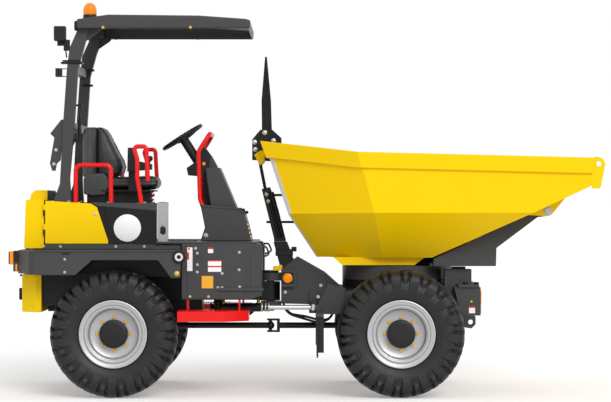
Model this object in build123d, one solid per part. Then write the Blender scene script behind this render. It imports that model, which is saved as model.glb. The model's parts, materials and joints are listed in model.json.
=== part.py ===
"""Site dumper with centre articulation and a swivelling, forward tipping skip.

Millimetres. +X is forward, +Y is the machine's left, +Z is up, and the ground is z = 0.
"""

from build123d import *
import math
import os

# Running gear
tyre_radius = 454
tyre_width = 304
tyre_side_y = 900
rim_radius = 232
rear_axle_x = -1360
front_axle_x = 678
wheel_y = tyre_side_y - tyre_width / 2
bead_half = 118
axle_z = tyre_radius
lugs_per_side = 18
lug_height = 30
hub_radius = 101
stub_radius = 45
axle_tube_radius = 62

# Fits
running_fit = 0.08
bearing_gap = 2
joint_gap = 6

# Articulation between the two chassis halves
articulation_x = -260
articulation_pin_radius = 30
hitch_nose_radius = 72
rear_hitch_z = (660, 800)
front_ear_z = ((594, 654), (806, 866))

# Steering cylinder, right-hand side only
steer_y = -250
steer_z = 618
steer_rear_x = -640
steer_front_x = 60
steer_barrel_radius = 32
steer_rod_radius = 18
steer_eye_radius = 28
steer_eye_half = 22
steer_pin_radius = 14

# Driveline under both halves
shaft_radius = 22
shaft_z = axle_z + 20
joint_ball_radius = 30
joint_pin_radius = 12

# Rear chassis
rear_frame_x = (-1895, -345)
rear_frame_half = 150
fender_y = (590, 870)
fender_rear_x = -1914
arch_gap = 71
arch_top_z = axle_z + tyre_radius + arch_gap
fender_top_z = arch_top_z + 67
rear_frame_z = (585, arch_top_z - 109)
bumper_top_z = 1046
floor_sheet = 13
floor_z = 1103
deck_z = 1375
deck_x = (-1870, -1070)
seat_pan_z = (1466, 1478)
seat_pan_half = 235
cover_half = 548
cover_sheet = 12
cowl_half = 540
cabinet_x = (rear_axle_x + tyre_radius + 20, -311)
step_rear_x = rear_axle_x + tyre_radius - 3
cabinet_y = (300, 660)
cabinet_z = (690, floor_z - floor_sheet)

# Hinges of the cowl and the service doors
cowl_hinge = (-2036, 1060)
cowl_knuckle_radius = 8
cowl_pin_radius = 4
cowl_hinge_y = (150, 300)
door_hinge = (-1880, cover_half + 12)
door_knuckle_radius = 7
door_pin_radius = 3.5
door_hinge_z = (1150, 1290)
knuckle_length = 40

# Front chassis
front_spine_half = 130
front_spine_low_z = 600
front_beam_half = 400
lamp_half = 540
lamp_shelf_z = (775, 795)
flap_x = (78, 130)
flap_z = (289, 575)
flap_y = (-880, -610)
flap_ribs = 4
flap_plate_y = (-310, -298)

# Slew ring and swivel frame
slew_radius = (330, 405)
lower_ring_z = (758, 819)
upper_ring_z = (lower_ring_z[1] + bearing_gap, 905)
swivel_plate_z = (905, 925)
apron_z = (925, 945)
swivel_front_x = 1377
swivel_cheek_y = (440, 470)

# Skip
tip_x = 1747
tip_z = 1325
tip_ear_radius = 38
tip_pin_radius = 20
skip_wall = 9
skip_bottom_z = 987
skip_front_x = 2030
skip_rim_out = 25
skip_rim_depth = 113
skip_bottom_front = (913, skip_bottom_z)
skip_slope = 0.4657
rim_line = ((-301, 1827), (372, 1744), (skip_front_x, 1703))
back_knee = (-126, 1304)
back_foot = (73, 998)
rim_half = 875
side_knee = (850, 1313)
floor_half = 480
runner_y = (-400, -360)
lug_y = (-864, -846)
lug_hole = (2074, 1660)
lug_hole_radius = 18

# Tipping cylinder, on the centre line
ram_low = (480, 820)
ram_high = (1240, 1040)
ram_barrel_radius = 36
ram_rod_radius = 22
ram_eye_radius = 30
ram_eye_half = 36

# Canopy and controls
post_y = (470, 530)
rail_y = 532
rail_radius = 16
hoop_y = 282
roof_half = 600
roof_sheet = 12
roof_low_z = 2635
roof_outline = [
    (-1642, roof_low_z),
    (-1642, 2702),
    (-1416, 2735),
    (-764, 2728),
    (-436, 2705),
    (-395, 2695),
    (-400, roof_low_z),
]
beacon_x = -1560
beacon_y = -450
beacon_radius = 44
wheel_centre = (-913, 1869)
wheel_axis = (-0.536, 0.844)
wheel_ring_radius = 160
wheel_stub_radius = 11
column_half = 70


def block(x, y, z):
    """A box from low and high limits on each axis."""
    size = (x[1] - x[0], y[1] - y[0], z[1] - z[0])
    return Pos((x[0] + x[1]) / 2, (y[0] + y[1]) / 2, (z[0] + z[1]) / 2) * Box(*size)


def side_plate(outline, y):
    """An outline in X and Z, as thick as the range y."""
    face = make_face(Polyline(*[(px, y[0], pz) for px, pz in outline], close=True))
    return extrude(face, amount=y[1] - y[0], dir=(0, 1, 0))


def plan_slab(outline, z):
    """An outline in X and Y, as thick as the range z."""
    face = make_face(Polyline(*[(px, py, z[0]) for px, py in outline], close=True))
    return extrude(face, amount=z[1] - z[0], dir=(0, 0, 1))


def bar(start, end, radius):
    """A round bar between two points."""
    start, end = Vector(*start), Vector(*end)
    plane = Plane(origin=start, z_dir=end - start)
    return extrude(plane * Circle(radius), amount=(end - start).length)


def disc(x, z, radius, y):
    """A round disc about an axis along Y."""
    return bar((x, y[0], z), (x, y[1], z), radius)


def pipe(points, radius, bend):
    """A bent tube through points, with one bend radius."""
    path = FilletPolyline(*points, radius=bend)
    section = Plane(origin=path @ 0, z_dir=path % 0) * Circle(radius)
    return sweep(section, path=path)


def turned(profile, centre):
    """A profile of radius and offset, turned about an axis along Y through centre."""
    x, y, z = centre
    face = make_face(Polyline(*[(x + r, y + off, z) for r, off in profile], close=True))
    return revolve(face, Axis((x, y, z), (0, 1, 0)), 360)


def mirrored(shape):
    """The same shape on the other side of the machine."""
    return mirror(shape, about=Plane.XZ)


def pair(shape):
    """The shape and its mirror image, as one group."""
    return Compound([*shape.solids(), *mirrored(shape).solids()])


def group(*shapes):
    """Several shapes as one group of solids."""
    return Compound([solid for shape in shapes for solid in shape.solids()])


def save(name, shape):
    """Writes one piece."""
    export_step(shape, f"parts/{name}.step")


# Wheels


def make_tyre(x, side):
    """A lugged tyre. side is -1 for the right wheels and 1 for the left."""
    y = side * wheel_y
    half = tyre_width / 2
    tread = tyre_radius - lug_height
    profile = [
        (rim_radius, -bead_half),
        (246, -bead_half),
        (262, -132),
        (335, -half),
        (392, -half + 8),
        (418, -118),
        (tread, -90),
        (tread, 90),
        (418, 118),
        (392, half - 8),
        (335, half),
        (262, 132),
        (246, bead_half),
        (rim_radius, bead_half),
    ]
    tyre = turned(profile, (0, 0, 0))
    lug_profile = [
        (400, -half),
        (340, -half),
        (340, -half + 12),
        (tread - 12, -60),
        (tread - 12, 26),
        (tyre_radius - 4, 26),
        (tyre_radius, -60),
        (tyre_radius - 6, -118),
        (tyre_radius - 22, -half + 4),
    ]
    face = make_face(Polyline(*[(r, off, -18) for r, off in lug_profile], close=True))
    lug = extrude(face, amount=36, dir=(0, 0, 1))
    step = 360 / lugs_per_side
    lugs = []
    for index in range(lugs_per_side):
        lugs.append(Rot(0, index * step, 0) * lug)
        other_side = mirror(lug, about=Plane.XZ)
        lugs.append(Rot(0, (index + 0.5) * step, 0) * other_side)
    return Pos(x, y, axle_z) * tyre.fuse(*lugs)


def make_rim(x, side):
    """A dished wheel centre with its hub cap."""
    y = side * wheel_y
    out = side
    flange = bead_half + 8
    profile = [
        (stub_radius + running_fit, -110 * out),
        (hub_radius, -110 * out),
        (hub_radius, 20 * out),
        (200, 20 * out),
        (rim_radius - 12, -10 * out),
        (rim_radius - 12, -flange * out),
        (rim_radius + 12, -flange * out),
        (rim_radius + 12, -bead_half * out),
        (rim_radius, -bead_half * out),
        (rim_radius, bead_half * out),
        (rim_radius + 12, bead_half * out),
        (rim_radius + 12, flange * out),
        (rim_radius - 12, flange * out),
        (rim_radius - 12, 12 * out),
        (200, 34 * out),
        (hub_radius, 34 * out),
        (hub_radius - 6, 96 * out),
        (0, 96 * out),
        (0, 60 * out),
        (stub_radius + running_fit, 60 * out),
    ]
    return turned(profile, (x, y, axle_z))


def make_axle(x):
    """A beam axle with its differential and two stub shafts."""
    inner = wheel_y - bead_half
    tube = disc(x, axle_z, axle_tube_radius, (-inner, inner))
    flanges = [disc(x, axle_z, 120, (inner - 50, inner))]
    flanges.append(disc(x, axle_z, 120, (-inner, -inner + 50)))
    shaft = disc(x, axle_z, stub_radius, (-wheel_y - 50, wheel_y + 50))
    profile = [(0, -105), (82, -105), (118, -60), (118, 60), (82, 105), (0, 105)]
    housing = turned(profile, (x, 0, axle_z))
    return tube.fuse(*flanges, shaft, housing)


def make_rear_drive(x):
    """The rear axle with its propeller shaft, which ends in a ball under the articulation pin."""
    shaft = bar((x, 0, shaft_z), (articulation_x - 20, 0, shaft_z), shaft_radius)
    flange = bar((x + 90, 0, shaft_z), (x + 160, 0, shaft_z), 48)
    ball = Pos(articulation_x, 0, shaft_z) * Sphere(joint_ball_radius)
    low, high = (articulation_x, 0, shaft_z - 60), (articulation_x, 0, shaft_z + 60)
    bore = bar(low, high, joint_pin_radius + running_fit)
    return make_axle(x).fuse(shaft, flange, ball).cut(bore)


def make_front_drive(x):
    """The front axle with its propeller shaft, whose fork holds the ball by an upright pin."""
    start = articulation_x + 62
    shaft = bar((start, 0, shaft_z), (x, 0, shaft_z), shaft_radius)
    flange = bar((x - 160, 0, shaft_z), (x - 90, 0, shaft_z), 48)
    cheek, half = 14, 26
    reach = joint_ball_radius + joint_gap
    z = (shaft_z - reach - cheek, shaft_z + reach + cheek)
    fork = block((articulation_x + reach + 12, start + 8), (-half, half), z)
    pin = bar((articulation_x, 0, z[0]), (articulation_x, 0, z[1]), joint_pin_radius)
    parts = [flange, fork, pin]
    for low in (z[0], z[1] - cheek):
        parts.append(bar((articulation_x, 0, low), (articulation_x, 0, low + cheek), half))
        parts.append(block((articulation_x, start), (-half, half), (low, low + cheek)))
    return make_axle(x).fuse(shaft, *parts)


# Rear chassis


def make_rear_frame():
    """The rear spine with the hitch block and the axle saddles."""
    rear_x, front_x = rear_frame_x
    low, high = rear_frame_z
    step_x, step_z = steer_rear_x - 120, 668
    spine = [
        (rear_x, low),
        (step_x, low),
        (step_x, step_z),
        (front_x, step_z),
        (front_x, high),
        (rear_x, high),
    ]
    frame = side_plate(spine, (-rear_frame_half, rear_frame_half))
    nose = articulation_x
    hitch = block((front_x, nose), (-hitch_nose_radius, hitch_nose_radius), rear_hitch_z)
    barrel = bar((nose, 0, rear_hitch_z[0]), (nose, 0, rear_hitch_z[1]), hitch_nose_radius)
    bore = bar((nose, 0, 500), (nose, 0, 900), articulation_pin_radius + running_fit)
    wings = block((rear_x, -1540), (-560, 560), (640, high))
    shelf = block((rear_x, -1660), (530, fender_y[0]), (high - 30, high + 30))
    bearers = block((-880, -480), (-cabinet_y[0], cabinet_y[0]), (720, 840))
    anchor = steer_anchor(steer_rear_x, -rear_frame_half)
    reach = steer_eye_half + joint_gap
    pin_low = (steer_rear_x, steer_y, steer_z - reach)
    pin_high = (steer_rear_x, steer_y, steer_z + reach)
    pin = bar(pin_low, pin_high, steer_pin_radius)
    welded = [hitch, barrel, wings, shelf, mirrored(shelf), bearers, anchor, pin]
    return frame.fuse(*welded, *axle_pads(rear_axle_x, low)).cut(bore, make_axle(rear_axle_x))


def axle_pads(x, top):
    """The two saddles which sit on an axle tube under a frame."""
    saddle = block((x - 80, x + 80), (-150, -112), (axle_z - 10, top))
    return [saddle, mirrored(saddle)]


def steer_anchor(x, inner_y):
    """Two ears, above and below the steering cylinder's eye, on a web."""
    ears = []
    half, sheet = 34, 14
    reach = steer_eye_half + joint_gap
    for low in (steer_z + reach, steer_z - reach - sheet):
        ears.append(block((x - half, x + half), (steer_y, inner_y), (low, low + sheet)))
        ears.append(bar((x, steer_y, low), (x, steer_y, low + sheet), half))
    web_z = (steer_z - reach - sheet, steer_z + 120)
    web = block((x - half, x + half), (inner_y - 16, inner_y + 20), web_z)
    return ears[0].fuse(*ears[1:], web)


def make_counterweight():
    """The rear ballast with folded corners."""
    front_x, rear_x = rear_frame_x[0], -2045
    right = [(front_x, -600), (front_x - 40, -600), (rear_x, -510)]
    left = [(x, -y) for x, y in reversed(right)]
    weight = plan_slab(right + left, (597, 868))
    hook = block((rear_x - 40, rear_x), (318, 342), (680, 760))
    return weight.fuse(hook, mirrored(hook))


def fender_hinge():
    """One of the cowl's two hinges on the bumper: a pin between two knuckles."""
    x, z = cowl_hinge
    low, high = cowl_hinge_y
    hinge = disc(x, z, cowl_pin_radius, (low, high))
    for y in ((low, low + knuckle_length), (high - knuckle_length, high)):
        leaf = block((x - 8, x + 4), y, (bumper_top_z - 6, z))
        hinge = hinge.fuse(disc(x, z, cowl_knuckle_radius, y), leaf)
    return hinge


def make_fenders():
    """The rear bumper and the two fenders over the wheels, in one weldment."""
    rear_x = fender_rear_x
    front_x = -890
    right = [(rear_x, -fender_y[1]), (-1958, -848), (-2050, -700)]
    left = [(x, -y) for x, y in reversed(right)]
    bumper = plan_slab(right + left, (880, bumper_top_z))
    low_rear_z = arch_top_z - 106
    low_front_z = arch_top_z - 127
    outline = [
        (rear_x, low_rear_z),
        (-1628, low_rear_z),
        (-1508, arch_top_z),
        (-1042, arch_top_z),
        (-950, low_front_z),
        (front_x, low_front_z),
        (front_x, fender_top_z),
        (rear_x, fender_top_z),
    ]
    lip_y = (-fender_y[1] - 10, -fender_y[1] + 20)
    lip = block((rear_x, front_x + 10), lip_y, (fender_top_z - 8, fender_top_z + 6))
    fender = side_plate(outline, (-fender_y[1], -fender_y[0])).fuse(lip)
    return bumper.fuse(fender, mirrored(fender), fender_hinge(), mirrored(fender_hinge()))


def make_engine_cover():
    """The plinth which carries the seat, open behind both service doors."""
    outer = block(deck_x, (-cover_half, cover_half), (1050, deck_z))
    inner = block(
        (deck_x[0] - 20, deck_x[1] - cover_sheet),
        (-cover_half + cover_sheet, cover_half - cover_sheet),
        (1030, deck_z - cover_sheet),
    )
    window = block((deck_x[0] + 60, -1440), (-700, 700), (1100, deck_z - 40))
    x, y = door_hinge
    tabs = []
    for z in door_hinge_z:
        high = z + knuckle_length
        tabs.append(bar((x, y, z), (x, y, high), door_knuckle_radius))
        tabs.append(block((x - 7, x + 7), (y - 17, y), (z, high)))
        tabs.append(block((x - 7, x + 22), (y - 17, cover_half), (z, high)))
        tabs.append(bar((x, y, high), (x, y, high + knuckle_length), door_pin_radius))
    hinge = tabs[0].fuse(*tabs[1:])
    return outer.cut(inner, window).fuse(hinge, mirrored(hinge))


def make_service_door(side):
    """A flat side panel with a sloping front edge."""
    outline = [
        (-1872, 1090),
        (-1872, 1398),
        (-1545, 1378),
        (-1500, 1350),
        (-1420, 1110),
        (-1420, 1090),
    ]
    panel = side_plate(outline, (cover_half + 2, cover_half + 14))
    x, y = door_hinge
    for z in door_hinge_z:
        low, high = z + knuckle_length + 1, z + 2 * knuckle_length
        knuckle = bar((x, y, low), (x, y, high), door_knuckle_radius)
        leaf = block((x, x + 12), (y - 6, y + 2), (low, high))
        bore = bar((x, y, low - 5), (x, y, high + 5), door_pin_radius + running_fit)
        panel = panel.fuse(knuckle, leaf).cut(bore)
    return panel if side > 0 else mirrored(panel)


def make_rear_cowl():
    """The hinged cowl at the back, a hollow cover open to the front."""
    outline = [
        (-2027, 1056),
        (-2014, 1400),
        (-2000, 1452),
        (-1968, 1475),
        (-1884, 1475),
        (-1884, 1056),
    ]
    inner = [
        (-2021, 1030),
        (-2008, 1400),
        (-1995, 1449),
        (-1966, 1469),
        (-1800, 1469),
        (-1800, 1030),
    ]
    centre = side_plate(outline, (-cowl_half, cowl_half))
    shoulder = block((-2100, -1850), (-cowl_half - 1, -300), (1404, 1500))
    cowl = centre.cut(shoulder, mirrored(shoulder))
    hollow = side_plate(inner, (-cowl_half + 6, cowl_half - 6))
    low = block((-2100, -1700), (-cowl_half, -294), (1398, 1500))
    cowl = cowl.cut(hollow.cut(low, mirrored(low)))
    x, z = cowl_hinge
    y = (cowl_hinge_y[0] + knuckle_length + 1, cowl_hinge_y[1] - knuckle_length - 1)
    knuckle = disc(x, z, cowl_knuckle_radius, y).fuse(block((x, -2020), y, (z - 4, z + 8)))
    knuckle = knuckle.cut(disc(x, z, cowl_pin_radius + running_fit, (0, 400)))
    return cowl.fuse(knuckle, mirrored(knuckle))


def make_engine():
    """The engine as one plain block."""
    return block((-1850, -1400), (-260, 260), (rear_frame_z[1], 1320))


def make_cabinets():
    """The side cabinets for tank and battery, each with a stowed lock bar and a loop handle."""
    outline = [
        (cabinet_x[0], cabinet_z[0]),
        (-400, cabinet_z[0]),
        (cabinet_x[1], 720),
        (cabinet_x[1], 1060),
        (-330, cabinet_z[1]),
        (cabinet_x[0], cabinet_z[1]),
    ]
    y = -cabinet_y[1]
    box = side_plate(outline, (y, -cabinet_y[0]))
    lock_bar = block((-630, -300), (y - 16, y), (752, 776))
    route = [(-330, y + 60, 1072), (-282, y + 60, 1068), (-258, y + 60, 1014), (-325, y + 60, 985)]
    return pair(box.fuse(lock_bar, pipe(route, 7, 16)))


def make_floor():
    """The operator's platform, with the slotted pillar beside the seat, notched round the fenders."""
    half = cabinet_y[1]
    floor = block((deck_x[1], -350), (-half, half), (floor_z - floor_sheet, floor_z))
    pillar_x, pillar_half = -1026, 34
    pillar_y = (-cover_half, -cover_half + 2 * pillar_half)
    pillar = block((pillar_x - pillar_half, pillar_x + pillar_half), pillar_y, (floor_z, deck_z + 14))
    slot_radius, slot_z = 14, (1172, 1202)
    slot = block((pillar_x - slot_radius, pillar_x + slot_radius), pillar_y, slot_z)
    for z in slot_z:
        slot = slot.fuse(disc(pillar_x, z, slot_radius, pillar_y))
    return floor.fuse(pillar).cut(slot, make_fenders())


def make_steps():
    """The red folded steps under the cabinets: a tread, a skirt round it and two hangers."""
    x = step_rear_x
    outline = [(x, -430), (x, -850), (-575, -850), (-405, -700), (-405, -430)]
    inner = [(x + 8, -420), (x + 8, -842), (-578, -842), (-413, -696), (-413, -420)]
    tray = plan_slab(outline, (540, 614)).cut(plan_slab(inner, (530, 606)))
    hangers = [block((at, at + 12), (-650, -430), (614, cabinet_z[0])) for at in (-850, -480)]
    return pair(tray.fuse(*hangers))


def make_console():
    """The lower box and the sloping upper box of the control console."""
    lower = [
        (-768, floor_z),
        (-735, 1202),
        (-766, 1360),
        (-483, 1333),
        (-446, 1305),
        (-395, floor_z),
    ]
    upper = [(-691, 1340), (-733, 1631), (-722, 1641), (-631, 1641), (-495, 1320)]
    low = side_plate(lower, (-300, 300))
    high = side_plate(upper, (-220, 220))
    return low.fuse(high)


def make_column():
    """The steering column from console to wheel hub, with the instrument housing over it."""
    x, z = wheel_centre
    ax, az = wheel_axis
    foot = (x - ax * 262, 0, z - az * 262)
    head = (x - ax * 30, 0, z - az * 30)
    shaft = bar(foot, head, 34)
    housing = [
        (-868, 1586),
        (-880, 1640),
        (-806, 1690),
        (-796, 1782),
        (-764, 1815),
        (-731, 1776),
        (-690, 1722),
        (-655, 1651),
        (-690, 1600),
        (-800, 1580),
    ]
    pod = side_plate(housing, (-column_half, column_half))
    stub = bar(foot, (x + ax * 6, 0, z + az * 6), wheel_stub_radius)
    return shaft.fuse(pod, stub).cut(make_console())


def make_steering_wheel():
    """A ring on three spokes, tilted towards the operator."""
    x, z = wheel_centre
    ax, az = wheel_axis
    plane = Plane(origin=(x, 0, z), x_dir=(0, 1, 0), z_dir=(ax, 0, az))
    ring = plane * Torus(wheel_ring_radius, 14)
    hub = plane * Pos(0, 0, -14) * Cylinder(34, 28)
    spokes = [
        plane * Rot(0, 0, angle) * Pos(wheel_ring_radius / 2, 0, -8) * Box(wheel_ring_radius - 10, 22, 8)
        for angle in (90, 210, 330)
    ]
    bore = plane * Cylinder(wheel_stub_radius + running_fit, 80)
    return ring.fuse(hub, *spokes).cut(bore)


def make_seat_base():
    """The seat's bellows, its pan, and the armrest with the control lever."""
    pan_low = seat_pan_z[0]
    pleats, depth, middle_x = 6, 22, -1315
    rise = (pan_low - deck_z) / pleats
    front = [(-1130 - depth * (index % 2), deck_z + index * rise) for index in range(pleats + 1)]
    rear = [(2 * middle_x - x, z) for x, z in reversed(front)]
    bellows = side_plate(front + rear, (-170, 170))
    pan = block((-1500, -1110), (-seat_pan_half, seat_pan_half), seat_pan_z)
    arm_y = (-330, -262)
    bracket = block((-1295, -1235), (arm_y[1], -seat_pan_half), (pan_low, 1640))
    arm_line = [(-1300, 1610), (-1120, 1625), (-1120, 1665), (-1232, 1690), (-1240, 1785), (-1295, 1785)]
    arm = side_plate(arm_line, arm_y)
    lever = bar((-1150, -296, 1650), (-1135, -296, 1700), 9)
    knob = Pos(-1134, -296, 1706) * Sphere(20)
    return bellows.fuse(pan, bracket, arm, lever, knob)


def make_seat_cushion():
    """The seat pan."""
    low = seat_pan_z[1]
    outline = [(-1500, low), (-1090, low), (-1080, 1500), (-1085, 1570), (-1110, 1584), (-1500, 1574)]
    return side_plate(outline, (-seat_pan_half, seat_pan_half))


def make_seat_back():
    """The backrest."""
    outline = [
        (-1644, 1574),
        (-1420, 1574),
        (-1345, 1600),
        (-1330, 1650),
        (-1385, 1760),
        (-1440, 1900),
        (-1465, 1942),
        (-1620, 1942),
        (-1644, 1920),
    ]
    return side_plate(outline, (-225, 225)).cut(make_seat_cushion())


def make_handrails():
    """The red rails on both sides of the seat and the hoop which stands on the console's shoulder."""
    y = -rail_y
    low_x = (-1655, -1401)
    low_route = [
        (low_x[0], y, deck_z),
        (low_x[0], y, 1655),
        (low_x[1], y, 1655),
        (low_x[1], y, deck_z),
    ]
    arm_x = -1181
    arm_route = [
        (arm_x, y, deck_z),
        (-1212, y, 1560),
        (-1212, y, 1700),
        (-1240, y, 1789),
        (-1148, y, 1789),
        (-1135, y, 1540),
    ]
    hoop_right = [
        (-748, -hoop_y, 1352),
        (-772, -hoop_y, 1410),
        (-783, -hoop_y, 1758),
        (-700, -hoop_y, 1890),
    ]
    hoop_left = [(x, -across, z) for x, across, z in reversed(hoop_right)]
    hoop = pipe(hoop_right + hoop_left, rail_radius - 1, 60).cut(make_console())
    feet = []
    for x in (*low_x, arm_x):
        feet.append(block((x - 34, x + 34), (y - rail_radius, y + 26), (deck_z, deck_z + 8)))
    under = block((-1900, -1000), (-700, 700), (deck_z - 60, deck_z))
    low = pipe(low_route, rail_radius, 40).fuse(feet[0], feet[1])
    arm = pipe(arm_route, rail_radius, 24).cut(under).fuse(feet[2])
    return group(pair(low), pair(arm), hoop)


def make_posts():
    """The two canopy posts, leaning forward into the roof, with their cross-bars."""
    inner_y = -post_y[0]
    outline = [
        (-1823, deck_z),
        (-1690, deck_z),
        (-1700, 1560),
        (-1663, 1980),
        (-1640, 2341),
        (-1560, roof_low_z),
        (-1640, roof_low_z),
        (-1700, 2500),
        (-1720, 2341),
        (-1745, 1980),
        (-1770, 1520),
    ]
    post = side_plate(outline, (-post_y[1], inner_y))
    hook = [
        (-1735, 1985),
        (-1763, 1983),
        (-1842, 1882),
        (-1812, 1854),
        (-1827, 1764),
        (-1800, 1764),
        (-1740, 1880),
    ]
    bracket = side_plate(hook, (inner_y - 36, inner_y - 24))
    foot = block((-1835, -1694), (-post_y[1] - 10, inner_y + 10), (deck_z, deck_z + 14))
    right = post.fuse(bracket, foot)
    bars = [block((-1715, -1665), (inner_y, -inner_y), (z, z + 60)) for z in (1900, 2330)]
    return right.fuse(mirrored(right), *bars)


def make_roof():
    """The canopy, a shallow tray turned upside down."""
    inner = [
        (-1642 + roof_sheet, 2600),
        (-1642 + roof_sheet, 2690),
        (-1416, 2735 - roof_sheet - 2),
        (-764, 2728 - roof_sheet - 2),
        (-436, 2705 - roof_sheet - 2),
        (-410, 2685),
        (-412, 2600),
    ]
    shell = side_plate(roof_outline, (-roof_half, roof_half))
    hollow = side_plate(inner, (-roof_half + roof_sheet, roof_half - roof_sheet))
    pad = block((-1640, -1540), (460, 540), (roof_low_z, 2700))
    return shell.cut(hollow).fuse(pad, mirrored(pad))


def make_beacon():
    """The warning beacon on the roof."""
    base = bar((beacon_x, beacon_y, 2690), (beacon_x, beacon_y, 2760), beacon_radius + 6)
    dome = bar((beacon_x, beacon_y, 2750), (beacon_x, beacon_y, 2832), beacon_radius)
    dome = fillet(dome.edges().sort_by(Axis.Z)[-1], beacon_radius - 18)
    return base.fuse(dome).cut(side_plate(roof_outline, (-roof_half, roof_half)))


def make_work_lamp():
    """The lamp on a bracket behind the right-hand post."""
    head = block((-1810, -1730), (-555, -455), (2550, 2655))
    arm = block((-1745, -1700), (-510, -490), (2480, 2560))
    return head.fuse(arm).cut(make_posts())


def make_rear_lamps():
    """The lamp clusters on the bumper's corners."""
    housing = block((-2085, -2050), (-690, -600), (895, 1040))
    lens = block((-2120, -2085), (-690, -600), (945, 1034))
    return pair(housing.fuse(lens))


# Front chassis


def front_hitch():
    """The two ears round the rear hitch, and the pin through them."""
    nose = articulation_x
    low = (nose, 0, front_ear_z[0][0] - 12)
    high = (nose, 0, front_ear_z[1][1] + 12)
    parts = [bar(low, high, articulation_pin_radius)]
    for z in front_ear_z:
        parts.append(block((nose, -180), (-hitch_nose_radius, hitch_nose_radius), z))
        parts.append(bar((nose, 0, z[0]), (nose, 0, z[1]), hitch_nose_radius))
    return parts


def front_side_parts():
    """What the right side of the front frame carries: lamp upright, flap plate with its arm, marker box."""
    beam = front_beam_half
    low, high = front_spine_low_z, 740
    cheek = block((200, 1140), (-250, -front_spine_half), (low + 10, high))
    upright = block((1010, 1205), (-beam, -250), (700, 900))
    flap_plate = side_plate([(75, 570), (260, 570), (290, 760), (170, 790), (72, 612)], flap_plate_y)
    flap_link = block((205, 255), (flap_plate_y[0], -250), (620, high))
    flap_arm = block(flap_x, (flap_y[0], flap_plate_y[1]), (flap_z[1], flap_z[1] + 25))
    marker_box = block((-178, -72), (-170, -front_spine_half), (765, 890))
    return [cheek, upright, flap_plate, flap_link, flap_arm, marker_box]


def make_front_frame():
    """The front spine, hitch ears with their pin, lamp beam, flaps and tow lug."""
    low, ring_low = front_spine_low_z, lower_ring_z[0]
    spine = [
        (-180, 640),
        (72, 634),
        (200, low),
        (1150, low),
        (1150, 740),
        (1080, ring_low),
        (270, ring_low),
        (143, 870),
        (-59, 985),
        (-180, 890),
    ]
    frame = side_plate(spine, (-front_spine_half, front_spine_half))
    pan = bar((front_axle_x, 0, 740), (front_axle_x, 0, ring_low), slew_radius[1])
    beam = block((1100, 1150), (-front_beam_half, front_beam_half), (low + 20, 740))
    shelf = block((1100, 1250), (-lamp_half - 20, lamp_half + 20), lamp_shelf_z)
    tow_line = [(1120, low), (1110, 470), (1230, 450), (1262, 480), (1262, 540), (1150, low)]
    tow = side_plate(tow_line, (-16, 16)).cut(disc(1225, 498, 18, (-20, 20)))
    socket = side_plate([(-232, 1096), (-140, 1096), (-70, 900), (-180, 900)], (-60, 60))
    anchor = steer_anchor(steer_front_x, -front_spine_half)
    sides = front_side_parts()
    sides += [mirrored(part) for part in sides]
    parts = [pan, beam, shelf, tow, socket, anchor, *front_hitch(), *sides]
    return frame.fuse(*parts, *axle_pads(front_axle_x, low)).cut(make_axle(front_axle_x))


def make_lower_ring():
    """The lower half of the slew ring."""
    x = front_axle_x
    low, high = lower_ring_z
    ring = bar((x, 0, low), (x, 0, high), slew_radius[1])
    spigot = bar((x, 0, low), (x, 0, high + 40), slew_radius[0] - running_fit)
    return ring.fuse(spigot).cut(bar((x, 0, low - 1), (x, 0, high + 50), slew_radius[0] - 14))


def make_front_lamps():
    """The lamp boxes on the ends of the front beam."""
    top = lamp_shelf_z[0]
    outline = [(1070, top), (1262, top), (1262, 571), (1160, 571), (1110, 600)]
    return pair(side_plate(outline, (-lamp_half, -front_beam_half)))


def make_mud_flaps():
    """The ribbed flaps which hang behind the front wheels."""
    low, high = flap_z
    rib_x = flap_x[0] + 12
    sheet = block((flap_x[0], rib_x), flap_y, flap_z)
    ribs = []
    for index in range(flap_ribs):
        at = flap_y[0] + 20 + index * 74
        ribs.append(block((rib_x, flap_x[1]), (at, at + 14), (low + 34, high)))
    return pair(sheet.fuse(*ribs))


# Swivel frame


def skip_underside(x):
    """Height of the skip's sloping underside."""
    return skip_bottom_front[1] + (x - skip_bottom_front[0]) * skip_slope


def make_swivel_frame():
    """The turning frame: ring, plate, two cheeks to the tipping pivot, and the cylinder's anchor."""
    x = front_axle_x
    front = swivel_front_x
    plate = bar((x, 0, swivel_plate_z[0]), (x, 0, swivel_plate_z[1]), slew_radius[1])
    ring = bar((x, 0, upper_ring_z[0]), (x, 0, upper_ring_z[1]), slew_radius[1])
    ring = ring.cut(bar((x, 0, 700), (x, 0, 1000), slew_radius[0]))
    apron = block((900, front), (-swivel_cheek_y[0], swivel_cheek_y[0]), apron_z)
    cheek_line = [
        (925, apron_z[0]),
        (925, skip_underside(925) - 14),
        (tip_x - 50, skip_underside(tip_x - 50) - 14),
        (tip_x, tip_z + 20),
        (tip_x, tip_z - tip_ear_radius),
        (1678, 1279),
        (front + 4, 1056),
        (front, apron_z[0]),
    ]
    cheek = side_plate(cheek_line, (-swivel_cheek_y[1], -swivel_cheek_y[0]))
    cheek = cheek.fuse(disc(tip_x, tip_z, tip_ear_radius, (-swivel_cheek_y[1], -swivel_cheek_y[0])))
    cross = block((front - 47, front), (-swivel_cheek_y[0], swivel_cheek_y[0]), (apron_z[0], 1000))
    eye_gap = ram_eye_half + joint_gap
    x_low, z_low = ram_low
    ear = side_plate(
        [(x_low - 60, 905), (x_low - 34, z_low - 30), (x_low + 34, z_low - 30), (x_low + 60, 905)],
        (-eye_gap - 16, -eye_gap),
    )
    slot = block((x_low - 60, 1090), (-eye_gap, eye_gap), (880, 960))
    pivot = disc(tip_x, tip_z, tip_pin_radius + running_fit, (-500, 500))
    low_pin = disc(x_low, z_low, 16, (-eye_gap - 17, eye_gap + 17))
    frame = plate.fuse(ring, apron, cheek, mirrored(cheek), cross, ear, mirrored(ear))
    return frame.cut(slot, pivot, low_pin)


# Skip


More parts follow.
